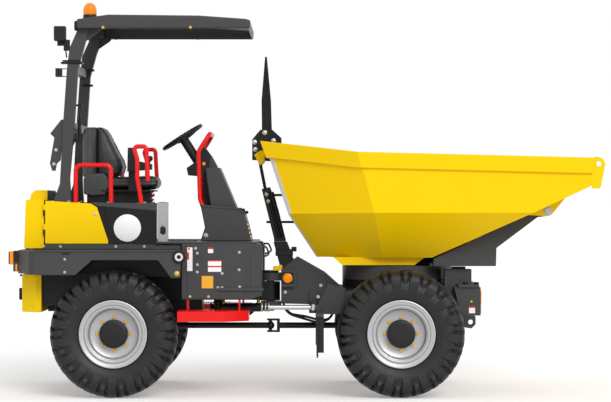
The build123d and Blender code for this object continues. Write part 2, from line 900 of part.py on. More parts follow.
def keep_inside(solid, points, inset, inside):
    """Cuts a solid by the plane through three points, moved inwards, and keeps the inner side."""
    a, b, c = (Vector(*p) for p in points)
    normal = (b - a).cross(c - a).normalized()
    if normal.dot(Vector(*inside) - a) < 0:
        normal = normal * -1
    plane = Plane(origin=a + normal * inset, z_dir=normal)
    return split(solid, bisect_by=plane, keep=Keep.TOP)


def tub(inset, front_x, bottom):
    """The skip's faceted form, with every side moved inwards by inset."""
    inside = (700, 0, 1500)
    solid = block((-500, front_x), (-1000, 1000), (bottom, 2000))
    for low, high in ((back_knee, rim_line[0]), (back_foot, back_knee)):
        facet = ((low[0], 0, low[1]), (high[0], 0, high[1]), (low[0], 100, low[1]))
        solid = keep_inside(solid, facet, inset, inside)
    start_x, start_z = skip_bottom_front
    slope = ((start_x, 0, start_z), (skip_front_x, 0, skip_underside(skip_front_x)), (start_x, 100, start_z))
    solid = keep_inside(solid, slope, inset, inside)
    knee_half, knee_z = side_knee
    rim_x, rim_z = rim_line[1]
    for s in (-1, 1):
        knee = (488, s * knee_half, knee_z)
        upper = ((0, s * rim_half, rim_z), (1000, s * rim_half, rim_z), (0, s * knee_half, knee_z))
        low = (0, s * floor_half, skip_bottom_z)
        lower = ((0, s * knee_half, knee_z), (1000, s * knee_half, knee_z), low)
        high_corner = ((rim_line[0][0], s * 500, rim_line[0][1]), (rim_x, s * rim_half, rim_z), knee)
        low_corner = ((back_knee[0], s * 490, back_knee[1]), knee, (553, s * floor_half, skip_bottom_z))
        for facet in (upper, lower, high_corner, low_corner):
            solid = keep_inside(solid, facet, inset, inside)
    return solid


def rim_band(depth):
    """A wide slab which follows the skip's rim, from its top down by depth."""
    top = list(rim_line)
    under = [(x, z - depth) for x, z in reversed(rim_line)]
    (x0, z0), (x1, z1) = rim_line[0], rim_line[1]
    lead = -60 / (x1 - x0) * (z1 - z0)
    top[0] = (x0 - 60, z0 + lead)
    under[-1] = (x0 - 60, z0 + lead - depth)
    return side_plate(top + under, (-1000, 1000))


def tipping_ear():
    """The right-hand plate under the skip, with its pin for the swivel frame's cheek."""
    y = (-swivel_cheek_y[1] - joint_gap - 24, -swivel_cheek_y[1] - joint_gap)
    outline = [
        (tip_x - 179, skip_underside(tip_x - 179) + 4),
        (tip_x, tip_z - tip_ear_radius),
        (tip_x + 32, tip_z - 26),
        (tip_x + 125, 1415),
        (tip_x + 152, skip_underside(tip_x + 152) + 4),
    ]
    boss = disc(tip_x, tip_z, tip_ear_radius, y)
    pin = disc(tip_x, tip_z, tip_pin_radius, (y[0], -swivel_cheek_y[0] + 4))
    return side_plate(outline, y).fuse(boss, pin)


def ram_hanger():
    """The right-hand plate which holds the upper end of the tipping cylinder."""
    x, z = ram_high
    eye_gap = ram_eye_half + joint_gap
    outline = [
        (x - 40, z + 10),
        (x - 40, skip_underside(x - 40) + 3),
        (x + 90, skip_underside(x + 90) + 3),
        (x + 40, z - 20),
        (x - 20, z - 34),
    ]
    return side_plate(outline, (-eye_gap - 14, -eye_gap))


def make_skip_shell():
    """The skip: faceted walls, runners below, tipping ears with pins, and lifting lugs."""
    outer = tub(0, skip_front_x, skip_bottom_z) & rim_band(900)
    shell = outer.cut(tub(skip_wall, skip_front_x + 200, skip_bottom_z + skip_wall))
    runner = side_plate([(200, 989), (265, 931), (790, 931), (870, 989)], runner_y)
    lug_line = [
        (2026, 1700),
        (2062, 1712),
        (2104, 1694),
        (2120, 1660),
        (2088, 1500),
        (2076, 1484),
        (2026, 1484),
    ]
    lug = side_plate(lug_line, lug_y).cut(disc(*lug_hole, lug_hole_radius, lug_y))
    side_parts = [tipping_ear(), ram_hanger(), runner, lug]
    return shell.fuse(*side_parts, *[mirrored(part) for part in side_parts])


def make_skip_rim():
    """The folded band round the skip's open top."""
    band = tub(-skip_rim_out, skip_front_x, skip_bottom_z - 60) & rim_band(skip_rim_depth)
    return band.cut(tub(0, skip_front_x + 200, skip_bottom_z))


def make_skip_guard():
    """The upright guard which the skip's back wall carries on a saddle over the rim."""
    blade = side_plate(
        [(-323, 1910), (-326, 2140), (-300, 2465), (-286, 2465), (-256, 2140), (-249, 1910)],
        (-26, 26),
    )
    saddle = side_plate(
        [
            (-395, 1700),
            (-395, 1852),
            (-335, 1923),
            (-245, 1923),
            (-178, 1862),
            (-178, 1800),
            (-230, 1800),
            (-262, 1790),
            (-262, 1690),
        ],
        (-48, 48),
    )
    rod = bar((-345, 0, 1720), (-296, 0, 1470), 12)
    channel = side_plate(
        [(-325, 1485), (-263, 1500), (-200, 1333), (-146, 1110), (-232, 1110)],
        (-45, 45),
    )
    stays = [bar((-290, y, z), (x, y, z), 9) for y in (-30, 30) for x, z in ((-150, 1440), (-60, 1240))]
    body = blade.fuse(saddle, rod, channel, *stays)
    inside = tub(skip_wall / 2, 2300, 900) & rim_band(1500)
    return body.cut(inside, make_skip_shell(), make_skip_rim())


# Cylinders


def make_steer_barrel():
    """The steering cylinder's tube, with the eye at the rear anchor."""
    x, y, z = steer_rear_x, steer_y, steer_z
    gland_x = (-328, -265)
    eye = bar((x, y, z - steer_eye_half), (x, y, z + steer_eye_half), steer_eye_radius)
    tube = bar((x + 20, y, z), (gland_x[0], y, z), steer_barrel_radius)
    gland = bar((gland_x[0], y, z), (gland_x[1], y, z), 27)
    cuts = []
    for heights in ((z + steer_eye_half, z + 60), (z - 60, z - steer_eye_half)):
        cuts.append(block((x - 60, x + 40), (y - 60, y + 60), heights))
    bore = bar((x + 50, y, z), (gland_x[1], y, z), steer_rod_radius + running_fit)
    pin_bore = bar((x, y, z - 60), (x, y, z + 60), steer_pin_radius + running_fit)
    return eye.fuse(tube, gland).cut(*cuts, bore, pin_bore)


def make_steer_rod():
    """The steering cylinder's rod, whose eye rides between the front ears."""
    x, y, z = steer_front_x, steer_y, steer_z
    eye = bar((x, y, z - steer_eye_half), (x, y, z + steer_eye_half), steer_eye_radius)
    rod = bar((-400, y, z), (x - 20, y, z), steer_rod_radius)
    return eye.fuse(rod)


def ram_point(distance):
    """A point on the tipping cylinder's axis, by its distance from the lower pin."""
    dx, dz = ram_high[0] - ram_low[0], ram_high[1] - ram_low[1]
    length = math.hypot(dx, dz)
    return (ram_low[0] + dx * distance / length, 0, ram_low[1] + dz * distance / length)


def make_ram_barrel():
    """The tipping cylinder's tube, with the pin of its lower eye."""
    eye = disc(ram_low[0], ram_low[1], ram_eye_radius, (-ram_eye_half, ram_eye_half))
    tube = bar(ram_point(25), ram_point(560), ram_barrel_radius)
    side_cut = block((400, ram_low[0] + 66), (ram_eye_half, 80), (700, 1000))
    bore = bar(ram_point(60), ram_point(700), ram_rod_radius + running_fit)
    pin = disc(ram_low[0], ram_low[1], 16 - running_fit, (-ram_eye_half - 20, ram_eye_half + 20))
    return eye.fuse(tube).cut(side_cut, mirrored(side_cut), bore).fuse(pin)


def make_ram_rod():
    """The tipping cylinder's rod, whose eye rides between the skip's hangers."""
    length = math.hypot(ram_high[0] - ram_low[0], ram_high[1] - ram_low[1])
    eye = disc(ram_high[0], ram_high[1], ram_eye_radius, (-ram_eye_half, ram_eye_half))
    rod = bar(ram_point(length - 640), ram_point(length - 20), ram_rod_radius)
    return eye.fuse(rod)


wheels = (
    {"name": "front_right", "axle_x": front_axle_x, "side": -1},
    {"name": "front_left", "axle_x": front_axle_x, "side": 1},
    {"name": "rear_right", "axle_x": rear_axle_x, "side": -1},
    {"name": "rear_left", "axle_x": rear_axle_x, "side": 1},
)

pieces = {
    "rear_frame": make_rear_frame,
    "counterweight": make_counterweight,
    "rear_fenders": make_fenders,
    "engine_cover": make_engine_cover,
    "rear_cowl": make_rear_cowl,
    "engine_block": make_engine,
    "side_cabinets": make_cabinets,
    "platform_floor": make_floor,
    "access_steps": make_steps,
    "control_console": make_console,
    "steering_column": make_column,
    "steering_wheel": make_steering_wheel,
    "seat_base": make_seat_base,
    "seat_cushion": make_seat_cushion,
    "seat_back": make_seat_back,
    "handrails": make_handrails,
    "canopy_posts": make_posts,
    "canopy_roof": make_roof,
    "beacon": make_beacon,
    "work_lamp": make_work_lamp,
    "rear_lamps": make_rear_lamps,
    "front_frame": make_front_frame,
    "slew_ring": make_lower_ring,
    "front_lamps": make_front_lamps,
    "mud_flaps": make_mud_flaps,
    "swivel_frame": make_swivel_frame,
    "skip_shell": make_skip_shell,
    "skip_rim": make_skip_rim,
    "skip_guard": make_skip_guard,
    "steer_barrel": make_steer_barrel,
    "steer_rod": make_steer_rod,
    "tip_barrel": make_ram_barrel,
    "tip_rod": make_ram_rod,
}

os.makedirs("parts", exist_ok=True)
for name, make in pieces.items():
    save(name, make())
save("service_door_right", make_service_door(-1))
save("service_door_left", make_service_door(1))
save("rear_axle", make_rear_drive(rear_axle_x))
save("front_axle", make_front_drive(front_axle_x))
for wheel in wheels:
    save("tyre_" + wheel["name"], make_tyre(wheel["axle_x"], wheel["side"]))
    save("rim_" + wheel["name"], make_rim(wheel["axle_x"], wheel["side"]))
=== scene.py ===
import json

import bmesh
import bpy
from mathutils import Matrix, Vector
import numpy as np


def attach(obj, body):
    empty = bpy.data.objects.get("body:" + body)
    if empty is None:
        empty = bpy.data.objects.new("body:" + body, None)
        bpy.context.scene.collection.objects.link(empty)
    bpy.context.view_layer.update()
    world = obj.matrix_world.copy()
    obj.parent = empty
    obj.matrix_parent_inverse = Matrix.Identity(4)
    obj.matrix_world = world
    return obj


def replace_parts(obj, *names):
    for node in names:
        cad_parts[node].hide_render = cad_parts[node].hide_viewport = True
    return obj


print("loading the frame")
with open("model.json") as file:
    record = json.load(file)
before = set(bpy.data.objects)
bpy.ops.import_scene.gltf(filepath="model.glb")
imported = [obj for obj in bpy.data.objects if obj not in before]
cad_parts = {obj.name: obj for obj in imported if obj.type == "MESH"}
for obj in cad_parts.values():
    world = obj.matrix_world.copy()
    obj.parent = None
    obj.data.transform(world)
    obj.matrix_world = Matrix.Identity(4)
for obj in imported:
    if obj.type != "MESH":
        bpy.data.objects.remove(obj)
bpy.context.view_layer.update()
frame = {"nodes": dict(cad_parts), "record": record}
nodes = frame["nodes"]


# Node helpers: a socket takes either a fixed value or a link from another node.
def feed(tree, socket, value):
    if isinstance(value, bpy.types.NodeSocket):
        tree.links.new(value, socket)
    else:
        socket.default_value = value


def addNode(tree, kind, inputs, **settings):
    node = tree.nodes.new(kind)
    for key, value in settings.items():
        setattr(node, key, value)
    for label, value in inputs.items():
        feed(tree, node.inputs[label], value)
    return node


def mathNode(tree, operation, a, b):
    return addNode(tree, "ShaderNodeMath", {0: a, 1: b}, operation=operation).outputs[0]


def newGroup(name, inputs, output):
    # A group with plain number inputs and one number output.
    group = bpy.data.node_groups.new(name, "ShaderNodeTree")
    for label, value in inputs.items():
        socket = group.interface.new_socket(label, in_out="INPUT", socket_type="NodeSocketFloat")
        socket.default_value = value
    group.interface.new_socket(output, in_out="OUTPUT", socket_type="NodeSocketFloat")
    return group, group.nodes.new("NodeGroupInput").outputs, group.nodes.new("NodeGroupOutput").inputs


def makeGrimeGroup():
    # Grime: soft cloudy noise, stronger near the ground.
    inputs = {"Scale": 3.0, "Amount": 0.3, "Low Height": 0.0, "High Height": 1.0}
    tree, given, result = newGroup("grime", inputs, "Mask")
    place = tree.nodes.new("ShaderNodeTexCoord").outputs["Object"]
    noiseInputs = {"Detail": 6, "Roughness": 0.62, "Vector": place, "Scale": given["Scale"]}
    noise = addNode(tree, "ShaderNodeTexNoise", noiseInputs)
    cloudInputs = {"From Min": 0.42, "From Max": 0.68, "Value": noise.outputs["Fac"]}
    cloud = addNode(tree, "ShaderNodeMapRange", cloudInputs)
    split = addNode(tree, "ShaderNodeSeparateXYZ", {0: place})
    fadeInputs = {
        "To Min": 1.0, "To Max": 0.25, "Value": split.outputs["Z"],
        "From Min": given["Low Height"], "From Max": given["High Height"],
    }
    fade = addNode(tree, "ShaderNodeMapRange", fadeInputs)
    mask = mathNode(tree, "MULTIPLY", cloud.outputs[0], fade.outputs[0])
    feed(tree, result["Mask"], mathNode(tree, "MULTIPLY", mask, given["Amount"]))
    return tree


def makeGrainGroup():
    # Grain: a height from fine noise and a share of coarse noise, for paint, cast iron and moulded plastic.
    inputs = {"Scale": 300.0, "Coarse Scale": 12.0, "Coarse Share": 0.3}
    tree, given, result = newGroup("grain", inputs, "Height")
    place = tree.nodes.new("ShaderNodeTexCoord").outputs["Object"]
    fineInputs = {"Detail": 2, "Vector": place, "Scale": given["Scale"]}
    coarseInputs = {"Detail": 1, "Vector": place, "Scale": given["Coarse Scale"]}
    fine = addNode(tree, "ShaderNodeTexNoise", fineInputs).outputs["Fac"]
    coarse = addNode(tree, "ShaderNodeTexNoise", coarseInputs).outputs["Fac"]
    low = mathNode(tree, "MULTIPLY", coarse, given["Coarse Share"])
    feed(tree, result["Height"], mathNode(tree, "ADD", fine, low))
    return tree


groups = {"grime": makeGrimeGroup(), "grain": makeGrainGroup()}


def placeGroup(tree, name, inputs):
    return addNode(tree, "ShaderNodeGroup", inputs, node_tree=groups[name]).outputs[0]


def mixColour(tree, share, a, b):
    # The first colour where the share is 0, the second where it is 1.
    inputs = {"Factor": share, "A": (*a, 1), "B": (*b, 1)}
    return addNode(tree, "ShaderNodeMix", inputs, data_type="RGBA").outputs["Result"]


def makeFinish(name, row):
    # Base colour with grime over it, roughness that follows the grime, and a grain bump.
    spec = {**plainFinish, **dict(zip(finishColumns, row)), **row[-1]}
    material = bpy.data.materials.new(name)
    material.use_nodes = True
    tree = material.node_tree
    shader = tree.nodes["Principled BSDF"].inputs
    grimeInputs = {"Scale": spec["grimeScale"], "Amount": spec["grime"], "High Height": spec["grimeHeight"]}
    grime = placeGroup(tree, "grime", grimeInputs)
    feed(tree, shader["Base Color"], mixColour(tree, grime, spec["colour"], spec["grimeColour"]))
    dull = min(1.0, spec["roughness"] + spec["dulling"])
    rough = addNode(tree, "ShaderNodeMapRange", {"To Min": spec["roughness"], "To Max": dull, "Value": grime})
    feed(tree, shader["Roughness"], rough.outputs[0])
    shader["Metallic"].default_value = spec["metallic"]
    shader["Coat Weight"].default_value = spec["coat"]
    shader["Coat Roughness"].default_value = spec["coatRoughness"]
    shader["Specular IOR Level"].default_value = spec["specular"]
    grainInputs = {"Scale": spec["grainScale"], "Coarse Scale": spec["coarseScale"]}
    grain = placeGroup(tree, "grain", {**grainInputs, "Coarse Share": spec["coarseShare"]})
    bumpInputs = {"Strength": spec["bump"], "Distance": spec["bumpDistance"], "Height": grain}
    feed(tree, shader["Normal"], addNode(tree, "ShaderNodeBump", bumpInputs).outputs["Normal"])
    # An emission colour makes the finish glow; on parts that are no lamps this is a painted glow.
    if "emission" in spec:
        shader["Emission Color"].default_value = (*spec["emission"], 1)
        shader["Emission Strength"].default_value = spec["emissionStrength"]
    return material


# What a finish has when it says nothing else; bumpDistance is in metres.
plainFinish = {
    "grimeScale": 2.5, "grimeHeight": 1.6, "grimeColour": (0.16, 0.13, 0.1), "dulling": 0.35,
    "metallic": 0.0, "coat": 0.0, "coatRoughness": 0.08, "specular": 0.5,
    "grainScale": 260.0, "coarseScale": 9.0, "coarseShare": 0.3, "bumpDistance": 0.002,
}
# Rows of slot, colour, roughness, grime, bump, and what else differs from the plain finish. The first
# finish of a slot also paints the frame's own nodes in that slot.
finishColumns = ("slot", "colour", "roughness", "grime", "bump")
finishes = {
    "yellowPaint": ("yellow_paint", (0.97, 0.635, 0.0), 0.36, 0.02, 0.02,
                    {"coat": 0.04, "coatRoughness": 0.1, "specular": 0.1}),
    "greyPaint": ("dark_grey_paint", (0.047, 0.047, 0.05), 0.42, 0.1, 0.05,
                  {"coat": 0.03, "specular": 0.28, "grimeColour": (0.09, 0.085, 0.08)}),
    "blackPaint": ("black_paint", (0.007, 0.007, 0.008), 0.36, 0.1, 0.05,
                   {"coat": 0.03, "specular": 0.2, "grimeColour": (0.025, 0.023, 0.02)}),
    "redPaint": ("red_paint", (0.84, 0.009, 0.008), 0.3, 0.04, 0.02, {"coat": 0.1, "specular": 0.2}),
    "silverPaint": ("silver_rim", (0.46, 0.465, 0.475), 0.34, 0.1, 0.03,
                    {"metallic": 0.4, "coat": 0.1, "grimeHeight": 0.9}),
    "tyreRubber": (
        "tyre_rubber", (0.014, 0.014, 0.015), 0.42, 0.25, 0.2,
        {"grimeColour": (0.024, 0.023, 0.021), "grimeScale": 9, "grainScale": 420, "specular": 0.3},
    ),
    "blackPlastic": ("black_plastic", (0.01, 0.01, 0.011), 0.45, 0.06, 0.12,
                     {"specular": 0.24, "grainScale": 700}),
    "seatVinyl": ("seat_vinyl", (0.014, 0.014, 0.016), 0.46, 0.06, 0.25, {"grainScale": 900}),
    # The orange lens finish glows a little on every part: a lamp glow on the lamps, a painted glow on the
    # side reflectors and the button.
    "orangeLens": ("orange_lens", (0.95, 0.27, 0.0), 0.2, 0.02, 0.02,
                   {"coat": 0.1, "specular": 0.25, "emission": (0.9, 0.25, 0.0), "emissionStrength": 0.12}),
    "brushedSteel": ("steel", (0.62, 0.62, 0.63), 0.3, 0.1, 0.05, {"metallic": 0.9}),
    "brass": ("steel", (0.62, 0.4, 0.12), 0.35, 0.15, 0.05, {"metallic": 0.85}),
    "zinc": ("steel", (0.5, 0.49, 0.45), 0.42, 0.15, 0.05, {"metallic": 0.7}),
    "shellPlastic": ("black_plastic", (0.05, 0.05, 0.052), 0.55, 0.12, 0.25, {"grainScale": 500}),
    "beaconLens": ("orange_lens", (1.0, 0.25, 0.0), 0.16, 0.02, 0.01,
                   {"coat": 0.15, "specular": 0.3, "emission": (1.0, 0.25, 0.0), "emissionStrength": 0.18}),
    "clearLens": (None, (0.62, 0.64, 0.66), 0.08, 0.05, 0.02, {"coat": 0.8, "metallic": 0.3}),
    "whitePlate": (None, (0.94, 0.94, 0.93), 0.4, 0.02, 0.01, {"specular": 0.2}),
    "redPlate": (None, (0.75, 0.02, 0.02), 0.4, 0.04, 0.01, {}),
    "amberPlate": (None, (0.9, 0.42, 0.01), 0.4, 0.04, 0.01, {}),
    "hazardYellow": (None, (0.85, 0.6, 0.01), 0.45, 0.08, 0.01, {}),
    "palePlastic": (None, (0.36, 0.37, 0.38), 0.38, 0.1, 0.05, {"metallic": 0.3}),
    "capMetal": (None, (0.7, 0.7, 0.7), 0.35, 0.05, 0.03, {"metallic": 0.4}),
    # A pale grey for the strips on the skip's back edges: a painted reflection of the bright studio.
    "paleStrip": (None, (0.62, 0.62, 0.64), 0.45, 0.06, 0.03, {"specular": 0.2}),
    "glossBlack": ("black_paint", (0.006, 0.006, 0.007), 0.2, 0.04, 0.02, {"coat": 0.2, "specular": 0.15}),
    "ironGrey": ("engine_grey", (0.08, 0.08, 0.085), 0.6, 0.3, 0.4, {"metallic": 0.3, "grainScale": 160}),
}
print("mixing finishes")
finish = {name: makeFinish(name, row) for name, row in finishes.items()}
slotFinish = {}
for name, (slot, *_) in finishes.items():
    slotFinish.setdefault(slot, name)


def roundEdges(piece, width, segments=3, foldAngle=30):
    # A rounded edge on every fold sharper than the angle.
    bevel = piece.modifiers.new("bevel", "BEVEL")
    bevel.width = width / 1000
    bevel.segments = segments
    bevel.limit_method = "ANGLE"
    bevel.angle_limit = np.radians(foldAngle)


def dressNode(node, width):
    # The frame's own node: welded, with rounded edges and even shading.
    node.modifiers.new("weld", "WELD").merge_threshold = nodeSpec["weldDistance"]
    roundEdges(node, width, nodeSpec["segments"], nodeSpec["foldAngle"])
    node.modifiers.new("even", "WEIGHTED_NORMAL").keep_sharp = True


# The weld distance is in metres, the edges' widths in mm.
nodeSpec = {
    "weldDistance": 0.00002, "segments": 2, "foldAngle": 25,
    "glossy": ("skip_guard", "engine_cover"), "plainEdge": 3,
    "edge": {
        "skip_rim": 6, "rear_fenders": 6, "canopy_roof": 12, "control_console": 8, "counterweight": 8,
        "side_cabinets": 6, "rear_cowl": 5, "engine_cover": 4, "canopy_posts": 6, "front_frame": 4,
        "skip_guard": 4,
    },
}
slotOf = {part["node"]: part["material_slot"] for part in frame["record"]["subparts"]}
print("finishing", len(nodes), "nodes")
for name, node in nodes.items():
    paint = "glossBlack" if name in nodeSpec["glossy"] else slotFinish[slotOf[name]]
    node.data.materials.clear()
    node.data.materials.append(finish[paint])
    dressNode(node, nodeSpec["edge"].get(name, nodeSpec["plainEdge"]))


def addPiece(name, shape, paint, body="rear_chassis", sharp=35, edge=0, segments=3):
    # A mesh from vertex rows and face rows: doubles merged, faces turned outwards, sharp folds kept crisp.
    verts, faces = shape
    mesh = bpy.data.meshes.new(name)
    mesh.from_pydata(np.asarray(verts, float).tolist(), [], faces)
    work = bmesh.new()
    work.from_mesh(mesh)
    bmesh.ops.remove_doubles(work, verts=work.verts, dist=1e-6)
    bmesh.ops.recalc_face_normals(work, faces=work.faces)
    work.to_mesh(mesh)
    work.free()
    mesh.polygons.foreach_set("use_smooth", np.full(len(mesh.polygons), sharp > 0))
    if sharp > 0:
        mesh.set_sharp_from_angle(angle=np.radians(sharp))
    piece = bpy.data.objects.new(name, mesh)
    bpy.context.scene.collection.objects.link(piece)
    mesh.materials.append(finish[paint])
    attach(piece, body)
    if edge:
        roundEdges(piece, edge, segments)
    return piece


# Shape helpers: a shape is its vertex rows, in metres, with its face rows.
def gridFaces(rows, columns, closeRows=False, closeColumns=False):
    # Quads of a rows by columns grid, wrapping round where a direction is closed.
    r = np.arange(rows if closeRows else rows - 1)[:, None]
    c = np.arange(columns if closeColumns else columns - 1)[None, :]
    nextRow, nextColumn = (r + 1) % rows * columns, (c + 1) % columns
    quads = [r * columns + c, r * columns + nextColumn, nextRow + nextColumn, nextRow + c]
    return np.stack(quads, -1).reshape(-1, 4).tolist()


def closedLoft(rings):
    # Rings of points joined by quads, with the first and the last ring closed by a flat face.
    rows, count = rings.shape[:2]
    last = (rows - 1) * count
    ends = [list(range(count)), list(range(last, last + count))[::-1]]
    return rings.reshape(-1, 3), gridFaces(rows, count, closeColumns=True) + ends


def smoothStep(low, high, value):
    # Rises from 0 to 1 between low and high with level ends.
    t = np.clip((value - low) / (high - low), 0, 1)
    return t * t * (3 - 2 * t)


def evenTurn(count):
    # Equal angles round a full circle.
    return np.linspace(0, 2 * np.pi, count, endpoint=False)


def runLength(points):
    # How far along a line of points each point lies.
    steps = np.linalg.norm(np.diff(points, axis=0), axis=1)
    return np.concatenate([[0], np.cumsum(steps)])


def turnFrame(axis):
    # Two square directions and the axis itself, as rows.
    up = np.asarray(axis, float) / np.linalg.norm(axis)
    helper = np.array([0, 0, 1.0]) if abs(up[2]) < 0.9 else np.array([1.0, 0, 0])
    side = np.cross(helper, up)
    side /= np.linalg.norm(side)
    return np.stack([side, np.cross(up, side), up])


def ringRows(angle, radius, height):
    # A point at each angle and radius round the upright line, at each height.
    rows = np.broadcast_arrays(np.cos(angle) * radius, np.sin(angle) * radius, height)
    return np.stack(rows, -1)


def joined(*shapes):
    # Several shapes as one.
    starts = np.cumsum([0] + [len(verts) for verts, faces in shapes])
    faces = [[i + int(start) for i in face] for start, (_, rows) in zip(starts, shapes) for face in rows]
    return np.concatenate([verts for verts, _ in shapes]), faces


def mirrored(shape):
    # A shape and its image on the other side.
    verts, faces = shape
    return joined(shape, (verts * np.array([1, -1, 1]), faces))


def prism(outline, low, high):
    # A closed outline of x and z carried straight across, from low y to high y.
    flat = np.asarray(outline, float)
    rings = [np.insert(flat, 1, y, axis=1) for y in (low, high)]
    return closedLoft(np.stack(rings) / 1000)


def boxes(rows):
    # Rows of low and high x, y and z: each row scales the corners of a unit box.
    rows = np.asarray(rows, float).reshape(-1, 3, 2) / 1000
    floor = [(0, 0, 0), (1, 0, 0), (1, 1, 0), (0, 1, 0)]
    corners = np.array(floor + [(x, y, 1) for x, y, _ in floor])
    verts = rows[:, None, :, 0] + corners[None] * (rows[:, None, :, 1] - rows[:, None, :, 0])
    sides = np.array([(0, 3, 2, 1), (4, 5, 6, 7), (0, 1, 5, 4), (1, 2, 6, 5), (2, 3, 7, 6), (3, 0, 4, 7)])
    faces = sides[None] + 8 * np.arange(len(rows))[:, None, None]
    return verts.reshape(-1, 3), faces.reshape(-1, 4).tolist()


def spin(profile, centre, axis, turns=48):
    # Each profile point (radius, height) is carried round the axis through the centre.
    radius, height = np.asarray(profile, float).T
    local = ringRows(evenTurn(turns)[:, None], radius[None], height[None])
    verts = (local.reshape(-1, 3) @ turnFrame(axis) + np.asarray(centre, float)) / 1000
    return verts, gridFaces(turns, len(radius), closeRows=True)


def smoothPath(points, count, passes):
    # The route is divided evenly by its length, then each inner point moves to its neighbours' mean.
    points = np.asarray(points, float)
    length = runLength(points)
    even = np.linspace(0, length[-1], count)
    path = np.stack([np.interp(even, length, points[:, c]) for c in range(3)], -1)
    for _ in range(passes):
        path[1:-1] = (path[:-2] + 2 * path[1:-1] + path[2:]) / 4
    return path


def roundBar(points, radius, count=90, passes=60, across=(0, 1, 0), sides=14):
    # A circle square to the path is carried along it, and each end is closed by a flat face.
    path = smoothPath(points, count, passes)
    tangent = np.gradient(path, axis=0)
    first = np.cross(tangent, np.asarray(across, float))
    first /= np.linalg.norm(first, axis=1, keepdims=True)
    second = np.cross(tangent, first)
    second /= np.linalg.norm(second, axis=1, keepdims=True)
    angle = evenTurn(sides)[None, :, None]
    rings = path[:, None] + radius * (np.cos(angle) * first[:, None] + np.sin(angle) * second[:, None])
    return closedLoft(rings / 1000)


headSpec = {"foot": 0.12, "shoulder": 0.85, "chamfer": 0.86, "washer": 1.35, "washerDepth": 0.14}


def hexHeads(places, axis, radius, height):
    # A chamfered hexagon with a round washer under it, its middle line along the axis, at every place.
    spec = headSpec

    def loft(count, rows):
        radii, heights = np.array(rows).T[:, :, None]
        return closedLoft(ringRows(evenTurn(count)[None], radius * radii, height * heights))

    head = loft(6, [(1, spec["foot"]), (1, spec["shoulder"]), (spec["chamfer"], 1)])
    washer = loft(18, [(spec["washer"], 0), (spec["washer"], spec["washerDepth"])])
    verts, faces = joined(head, washer)
    verts = verts @ turnFrame(axis)
    return joined(*[((np.asarray(place, float) + verts) / 1000, faces) for place in places])


def dress(parts, body="rear_chassis"):
    # Each entry's boxes, outlines, turned profiles and round bars are joined into one piece.
    # A mirrored entry is repeated on the left-hand side.
    for name, spec in parts.items():
        axis = spec.get("axis", (0, -1, 0))
        shapes = [boxes(spec["boxes"])] if "boxes" in spec else []
        shapes += [prism(*row) for row in spec.get("outlines", [])]
        shapes += [spin(profile, centre, axis, turns) for profile, centre, turns in spec.get("turned", [])]
        shapes += [roundBar(points, radius) for points, radius in spec.get("bars", [])]
        shape = joined(*shapes)
        shape = mirrored(shape) if spec.get("mirror") else shape
        look = {key: spec[key] for key in ("sharp", "edge", "segments") if key in spec}
        addPiece(name, shape, spec["paint"], spec.get("body", body), **look)


def boltOn(bolts, body="rear_chassis"):
    # Bolt heads at each place, and at its image on the left unless the entry is single. The axis is the
    # same for both.
    for name, spec in bolts.items():
        places = np.asarray(spec["places"], float)
        if not spec.get("single"):
            places = np.concatenate([places, places * np.array([1, -1, 1])])
        heads = hexHeads(places, spec.get("axis", (0, -1, 0)), spec["radius"], spec["height"])
        addPiece(name, heads, spec.get("paint", "zinc"), body, sharp=0)


# Columns: half-width and radius of the groove line, then of the lug line, from crown to bead.
tyreSection = np.array([
    (0, 424, 0, 454), (30, 424, 30, 454), (58, 422, 60, 452.5), (80, 418, 88, 448), (98, 412, 110, 441),
    (113, 402, 128, 430), (125, 389, 141, 414), (134, 374, 149, 395), (140, 357, 151, 372),
    (143, 341, 151, 350), (145, 328, 149.5, 332), (146, 314, 146.5, 316), (144, 298, 144, 298),
    (139, 278, 139, 278), (132, 262, 132, 262), (131.5, 257, 131.5, 257), (127, 252, 127, 252),
    (120, 243, 120, 243), (116, 236, 116, 236), (100, 231, 100, 231), (50, 229, 50, 229), (0, 229, 0, 229),
])
tyreSpec = {
    "lugs": 18, "samplesPerLug": 30, "crownColumns": 34, "crownEnd": 215, "wallColumns": 26, "wallStart": 222,
    "long": {"width": (19, 36), "start": -16, "end": 214},
    "short": {"width": (14, 18), "start": 34, "end": 160},
    "widthReach": 150, "flank": 4.5, "flankRadius": 440, "rollRadius": 454, "sweep": 0.62, "sweepReach": 96,
    "startFade": (-6, 4), "endFade": (8, -8),
}
# Metres: the wheels' places, with the right-hand side as -1.
wheelSpec = {"axleX": {"front": 0.678, "rear": -1.36}, "centreY": 0.748, "axleZ": 0.454}
wheelPlaces = {
    f"{end}_{hand}": (x, side)
    for end, x in wheelSpec["axleX"].items()
    for hand, side in (("right", -1), ("left", 1))
}


def lugMask(angle, along, offset, lug):
    # One when within half the width of the nearest lug's centre line, which runs askew over the crown
    # and square down the wall.
    spec = tyreSpec
    pitch = 2 * np.pi / spec["lugs"]
    lean = spec["sweep"] * (spec["sweepReach"] - np.minimum(along, spec["sweepReach"])) / spec["rollRadius"]
    away = (angle + lean - offset * pitch + pitch / 2) % pitch - pitch / 2
    half = np.interp(along, (0, spec["widthReach"]), lug["width"])
    side = smoothStep(half + spec["flank"], half, np.abs(away) * spec["flankRadius"])
    for limit, fade in (("start", "startFade"), ("end", "endFade")):
        low, high = spec[fade]
        side = side * smoothStep(lug[limit] + low, lug[limit] + high, along)
    return side


